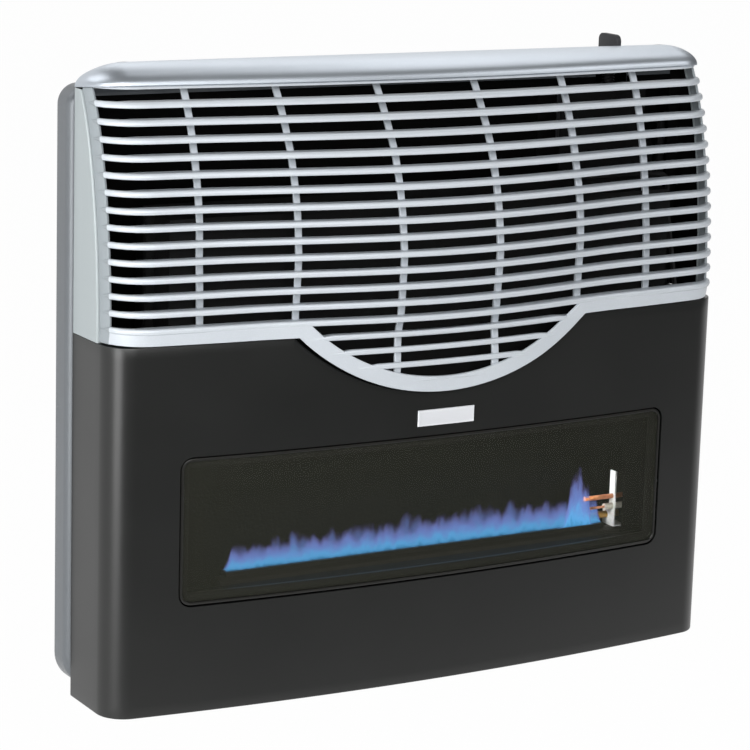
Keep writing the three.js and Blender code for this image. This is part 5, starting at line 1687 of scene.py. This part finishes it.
@dataclass
class Flame:
    """The row of blue flames and the tall pilot flame. It is light, so it has no solid."""

    y: float = -82.0
    foot: float = 116.6
    left: float = -195.5
    right: float = 210.0
    curtains: tuple = ((-3.0, 31.0, 0.0), (0.0, 38.0, 2.1), (3.0, 34.0, 4.4))
    pilot_span: Place = (158.0, 199.0)
    pilot_curtains: tuple = ((-5.0, 50.0), (-1.0, 58.0))

    def build(self) -> None:
        """Builds three curtains of flame and the pilot's two."""
        finish = GasFlame()
        x = np.linspace(self.left, self.right, 420)
        for k, (dy, tall, phase) in enumerate(self.curtains):
            self._curtain(f"burner_flame_{k + 1}", x, dy, tall * self._tongues(x, phase), finish)
        pilot = GasFlame("pilot_flame", 2.3, 0.95)
        x = np.linspace(*self.pilot_span, 82)
        for k, (dy, peak) in enumerate(self.pilot_curtains):
            body = peak * np.exp(-(np.abs((x - 179.5 - 1.5 * k) / 11.0) ** 4))
            side = 42 * np.exp(-(((x - 190.0 - k) / 4.5) ** 4))
            self._curtain(f"pilot_flame_{k + 1}", x, dy, np.maximum(np.maximum(body, side), 1.0), pilot)

    def _tongues(self, x: np.ndarray, phase: float) -> np.ndarray:
        """Finds the flames' relative heights.

        Args:
            x: Distances from the middle.
            phase: Sets one curtain apart from another.

        Returns:
            The heights from 0 to about 1.
        """
        ends = np.clip((x - self.left) / 6, 0, 1) * np.clip((self.right - x) / 6, 0, 1)
        waves = 0.66 + 0.12 * np.sin(x / 6.3 + phase)
        waves += 0.08 * np.sin(x / 3.1 + 2.3 * phase) + 0.07 * np.sin(x / 17.0 + phase)
        return ends * waves * np.interp(x, (self.left, -120.0, 60.0, self.right), (0.82, 0.92, 1.1, 0.98))

    def _curtain(self, name: str, x: np.ndarray, dy: float, height: np.ndarray, finish: GasFlame) -> None:
        """Builds one thin curtain of flame.

        Args:
            name: The piece's name.
            x: The curtain's columns.
            dy: Its distance from the burner's middle.
            height: Its height at each column.
            finish: The flame's material.
        """
        rows = 9
        t = np.linspace(0, 1, rows)[:, None]
        z = self.foot + t * height
        y = self.y + dy + 1.6 * t * np.sin(x / 7.0 + dy)
        sheet = (np.stack([np.broadcast_to(x, z.shape), y, z], -1), grid_faces(rows, len(x)))
        made = make_piece(name, sheet, finish, "ceramic", facing=(0, -1, 0))
        layer = made.data.uv_layers.new(name="height")
        for loop in made.data.loops:
            row, column = divmod(loop.vertex_index, len(x))
            layer.data[loop.index].uv = (column / (len(x) - 1), row / (rows - 1))


@dataclass
class CarriedOver:
    """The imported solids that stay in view, with the finish of each."""

    finishes: dict = field(default_factory=lambda: {
        # The black enamel is partly real and partly painted shade: the control bracket and the pipes take it
        # so that they sink into the inside's shade.
        ENAMEL_AND_PAINTED_SHADE: ("chamber_rear_shell", "chamber_front_shell", "baffle_plate", "control_bracket",
                 "gas_supply_pipe", "burner_supply_pipe", "pilot_pipe"),
        SEAL: ("chamber_seal", "burner_plate_gasket"),
        PLATED_STEEL: ("exhaust_spigot", "air_collar", "left_chamber_bracket", "right_chamber_bracket",
                       "burner_plate", "injector_bridge", "burner_plate_screw_1", "burner_plate_screw_2",
                       "burner_plate_screw_3", "burner_plate_screw_4"),
        HEATED_STEEL: ("burner_tube", "burner_port_strip", "burner_saddle"),
        BRASS: ("injector", "pilot_burner", "gas_inlet_union"),
        # The pilot bracket's near-white steel is a painted highlight.
        STEEL_PAINTED_HIGHLIGHT: ("pilot_bracket",),
        COPPER: ("thermocouple", "spark_electrode"),
        CERAMIC: ("electrode_ceramic",),
        CAST_ALUMINIUM: ("gas_valve_body",),
        BLUED_STEEL: ("valve_sleeve", "valve_spindle"),
        KNOB_PLASTIC: ("igniter_body",),
        LEAD_RUBBER: ("thermocouple_lead", "ignition_lead"),
    })

    def dress(self) -> None:
        """Gives each solid its finish."""
        for finish, names in self.finishes.items():
            for name in names:
                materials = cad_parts[name].data.materials
                materials.clear()
                materials.append(finish.material())
                LOG.info("%s: %s", name, finish.name)


# ---------------------------------------------------------------- studio


@dataclass(frozen=True)
class SoftLight:
    """A soft rectangular light that faces the heater.

    Its azimuth is in degrees from straight in front, positive to the viewer's right, its elevation in degrees
    above level, its distance, width and height in metres and its power in watts.
    """

    name: str
    azimuth: float
    elevation: float
    distance: float
    width: float
    height: float
    power: float

    def build(self) -> None:
        """Makes the light and turns it to the heater."""
        data = bpy.data.lights.new(self.name, "AREA")
        data.shape = "RECTANGLE"
        data.size, data.size_y, data.energy = self.width, self.height, self.power
        away = direction(self.azimuth, self.elevation)
        aim(put_in_scene(self.name, data), Vector((0.0, -0.1, 0.05)) + away * self.distance, -away)


def direction(azimuth: float, elevation: float) -> Vector:
    """Returns the direction away from the heater at an azimuth and an elevation in degrees."""
    a, e = math.radians(azimuth), math.radians(elevation)
    return Vector((math.sin(a) * math.cos(e), -math.cos(a) * math.cos(e), math.sin(e)))


def aim(light: bpy.types.Object, place: Vector, towards: Vector) -> None:
    """Puts a light at a place and turns it towards a direction."""
    light.location = place
    light.rotation_mode = "QUATERNION"
    light.rotation_quaternion = towards.to_track_quat("-Z", "Y")


@dataclass
class Studio:
    """Pale floor, pale backdrop, soft lights and the camera."""

    lens: float = 137.66
    sensor: float = 36.0
    shift_x: float = -0.00452
    shift_y: float = 0.0018
    camera_at: Direction = (-1333.1, -2272.9, 845.4)
    azimuth: float = -30.51
    elevation: float = 12.50
    roll: float = 1.74
    floor_level: float = -420.0
    floor_front: float = -1.2
    ambient: float = 0.14
    backdrop: float = 14.0
    glow_from: Direction = (168.0, -104.0, 156.0)
    glow_to: Direction = (214.0, -84.0, 146.0)
    lights: tuple = (
        SoftLight("key", -18, 22, 2.9, 2.4, 1.3, 56.0),
        SoftLight("top", 115, 62, 2.5, 1.2, 1.0, 5.0),
        SoftLight("right fill", 52, 28, 2.6, 1.4, 1.0, 9.0),
        SoftLight("right soft", 14, 38, 2.6, 0.8, 0.6, 0.5),
        SoftLight("far right soft", 49, 38, 2.6, 0.9, 0.5, 0.5),
        SoftLight("left tall", -62, 4, 2.2, 1.0, 1.5, 29.0),
        SoftLight("left wide", -102, 10, 2.2, 2.3, 0.8, 6.0),
        SoftLight("left upper", -118, 48, 1.6, 0.9, 0.9, 5.0),
        SoftLight("rear high", 142, 45, 2.6, 2.4, 0.9, 9.0),
    )

    def camera(self) -> None:
        """Makes the camera at the photograph's viewing point."""
        roll = math.radians(self.roll)
        back = direction(self.azimuth, self.elevation)
        right = (-back).cross(Vector((0, 0, 1))).normalized()
        up = right.cross(-back)
        side = right * math.cos(roll) + up * math.sin(roll)
        top = up * math.cos(roll) - right * math.sin(roll)
        data = bpy.data.cameras.new("camera")
        data.lens, data.sensor_width = self.lens, self.sensor
        data.shift_x, data.shift_y = self.shift_x, self.shift_y
        data.clip_start, data.clip_end = 0.1, 60.0
        camera = put_in_scene("camera", data)
        turn = Matrix((side, top, back)).transposed().to_4x4()
        camera.matrix_world = Matrix.Translation(Vector(to_frame(np.array(self.camera_at)))) @ turn
        bpy.context.scene.camera = camera

    def build(self) -> None:
        """Makes the floor, the world and the lights."""
        bpy.context.scene.view_settings.view_transform = "Standard"
        self._world()
        self._floor()
        for light in self.lights:
            light.build()
        self._fire_glow()

    def _fire_glow(self) -> None:
        """Makes the flame's own small light, which falls on the pilot's bright parts."""
        data = bpy.data.lights.new("fire glow", "SPOT")
        data.energy, data.shadow_soft_size = 0.4, 0.004
        data.spot_size, data.spot_blend = math.radians(70), 0.6
        start, goal = (Vector(to_frame(np.array(place))) for place in (self.glow_from, self.glow_to))
        light = put_in_scene("fire glow", data)
        aim(light, start, goal - start)
        light.visible_camera = light.visible_glossy = False

    def _world(self) -> None:
        """Makes an even grey world that the camera sees as white."""
        world = bpy.data.worlds.new("studio")
        bpy.context.scene.world = world
        world.use_nodes = True
        nodes, links = world.node_tree.nodes, world.node_tree.links
        back = nodes["Background"]
        back.inputs["Color"].default_value = (1.0, 1.0, 1.0, 1.0)
        level = nodes.new("ShaderNodeMapRange")
        level.inputs["To Min"].default_value = self.ambient
        level.inputs["To Max"].default_value = 1.0
        links.new(nodes.new("ShaderNodeLightPath").outputs["Is Camera Ray"], level.inputs["Value"])
        links.new(level.outputs["Result"], back.inputs["Strength"])

    def _floor(self) -> None:
        """Makes the floor, which keeps the heater's shadow, and the backdrop."""
        z = float(to_frame(np.array([0.0, 0.0, self.floor_level]))[2])
        near, far = self.floor_front, self.backdrop
        self._stage("floor", [(-far, near, z), (far, near, z), (far, far, z), (-far, far, z)], 0.985)
        self._stage("backdrop", [(-far, far, z), (far, far, z), (far, far, far), (-far, far, far)], 1.0)

    @staticmethod
    def _stage(name: str, corners: Sequence[Direction], white: float) -> None:
        """Makes a pale sheet that the camera, metal and glass see as white.

        Args:
            name: The sheet's name.
            corners: Its corners in metres.
            white: The share of its look that doesn't depend on the light.
        """
        made = Coating(name)
        made.settle(Base_Color=(0.9, 0.9, 0.9, 1.0), Roughness=0.9)
        path = made.add("LightPath")
        seen = path.outputs["Is Camera Ray"]
        for ray in ("Is Glossy Ray", "Is Transmission Ray"):
            seen = made.maths("MAXIMUM", seen, path.outputs[ray])
        mix = made.add("MixShader", Fac=made.maths("MULTIPLY", seen, white))
        made.feed(mix, 1, made.shader.outputs["BSDF"])
        made.feed(mix, 2, made.add("Emission").outputs["Emission"])
        made.feed(made.nodes["Material Output"], "Surface", mix.outputs["Shader"])
        mesh = bpy.data.meshes.new(name)
        mesh.from_pydata(corners, [], [(0, 1, 2, 3)])
        mesh.materials.append(made.material)
        put_in_scene(name, mesh)


def main() -> None:
    """Builds the heater's pieces in order and reports each."""
    logging.basicConfig(level=logging.INFO, format="%(message)s")
    studio = Studio()
    studio.camera()
    studio.build()
    lobe = Lobe()
    casing = FrontCasing(lobe)
    cheeks = Cheeks()
    CarriedOver().dress()
    RearFrame().build()
    casing.build()
    Window(casing).build()
    Badge().build()
    cheeks.build()
    Grille(lobe, cheeks).build()
    TopCap().build()
    Knob().build()
    IgniterButton().build()
    springs = (
        Spring("knob_return_coil", KNOB_AT, 530.3, 545.7, 5.7, 0.6,
               "knob_push", 3.0, "sleeve", "knob_spring"),
        Spring("igniter_return_coil", IGNITER_AT, 500.3, 511.7, 4.8, 0.5,
               "igniter_push", 5.0, BODY, "igniter_spring"),
    )
    for spring in springs:
        spring.build()
    Flame().build()


if __name__ == "__main__":
    main()
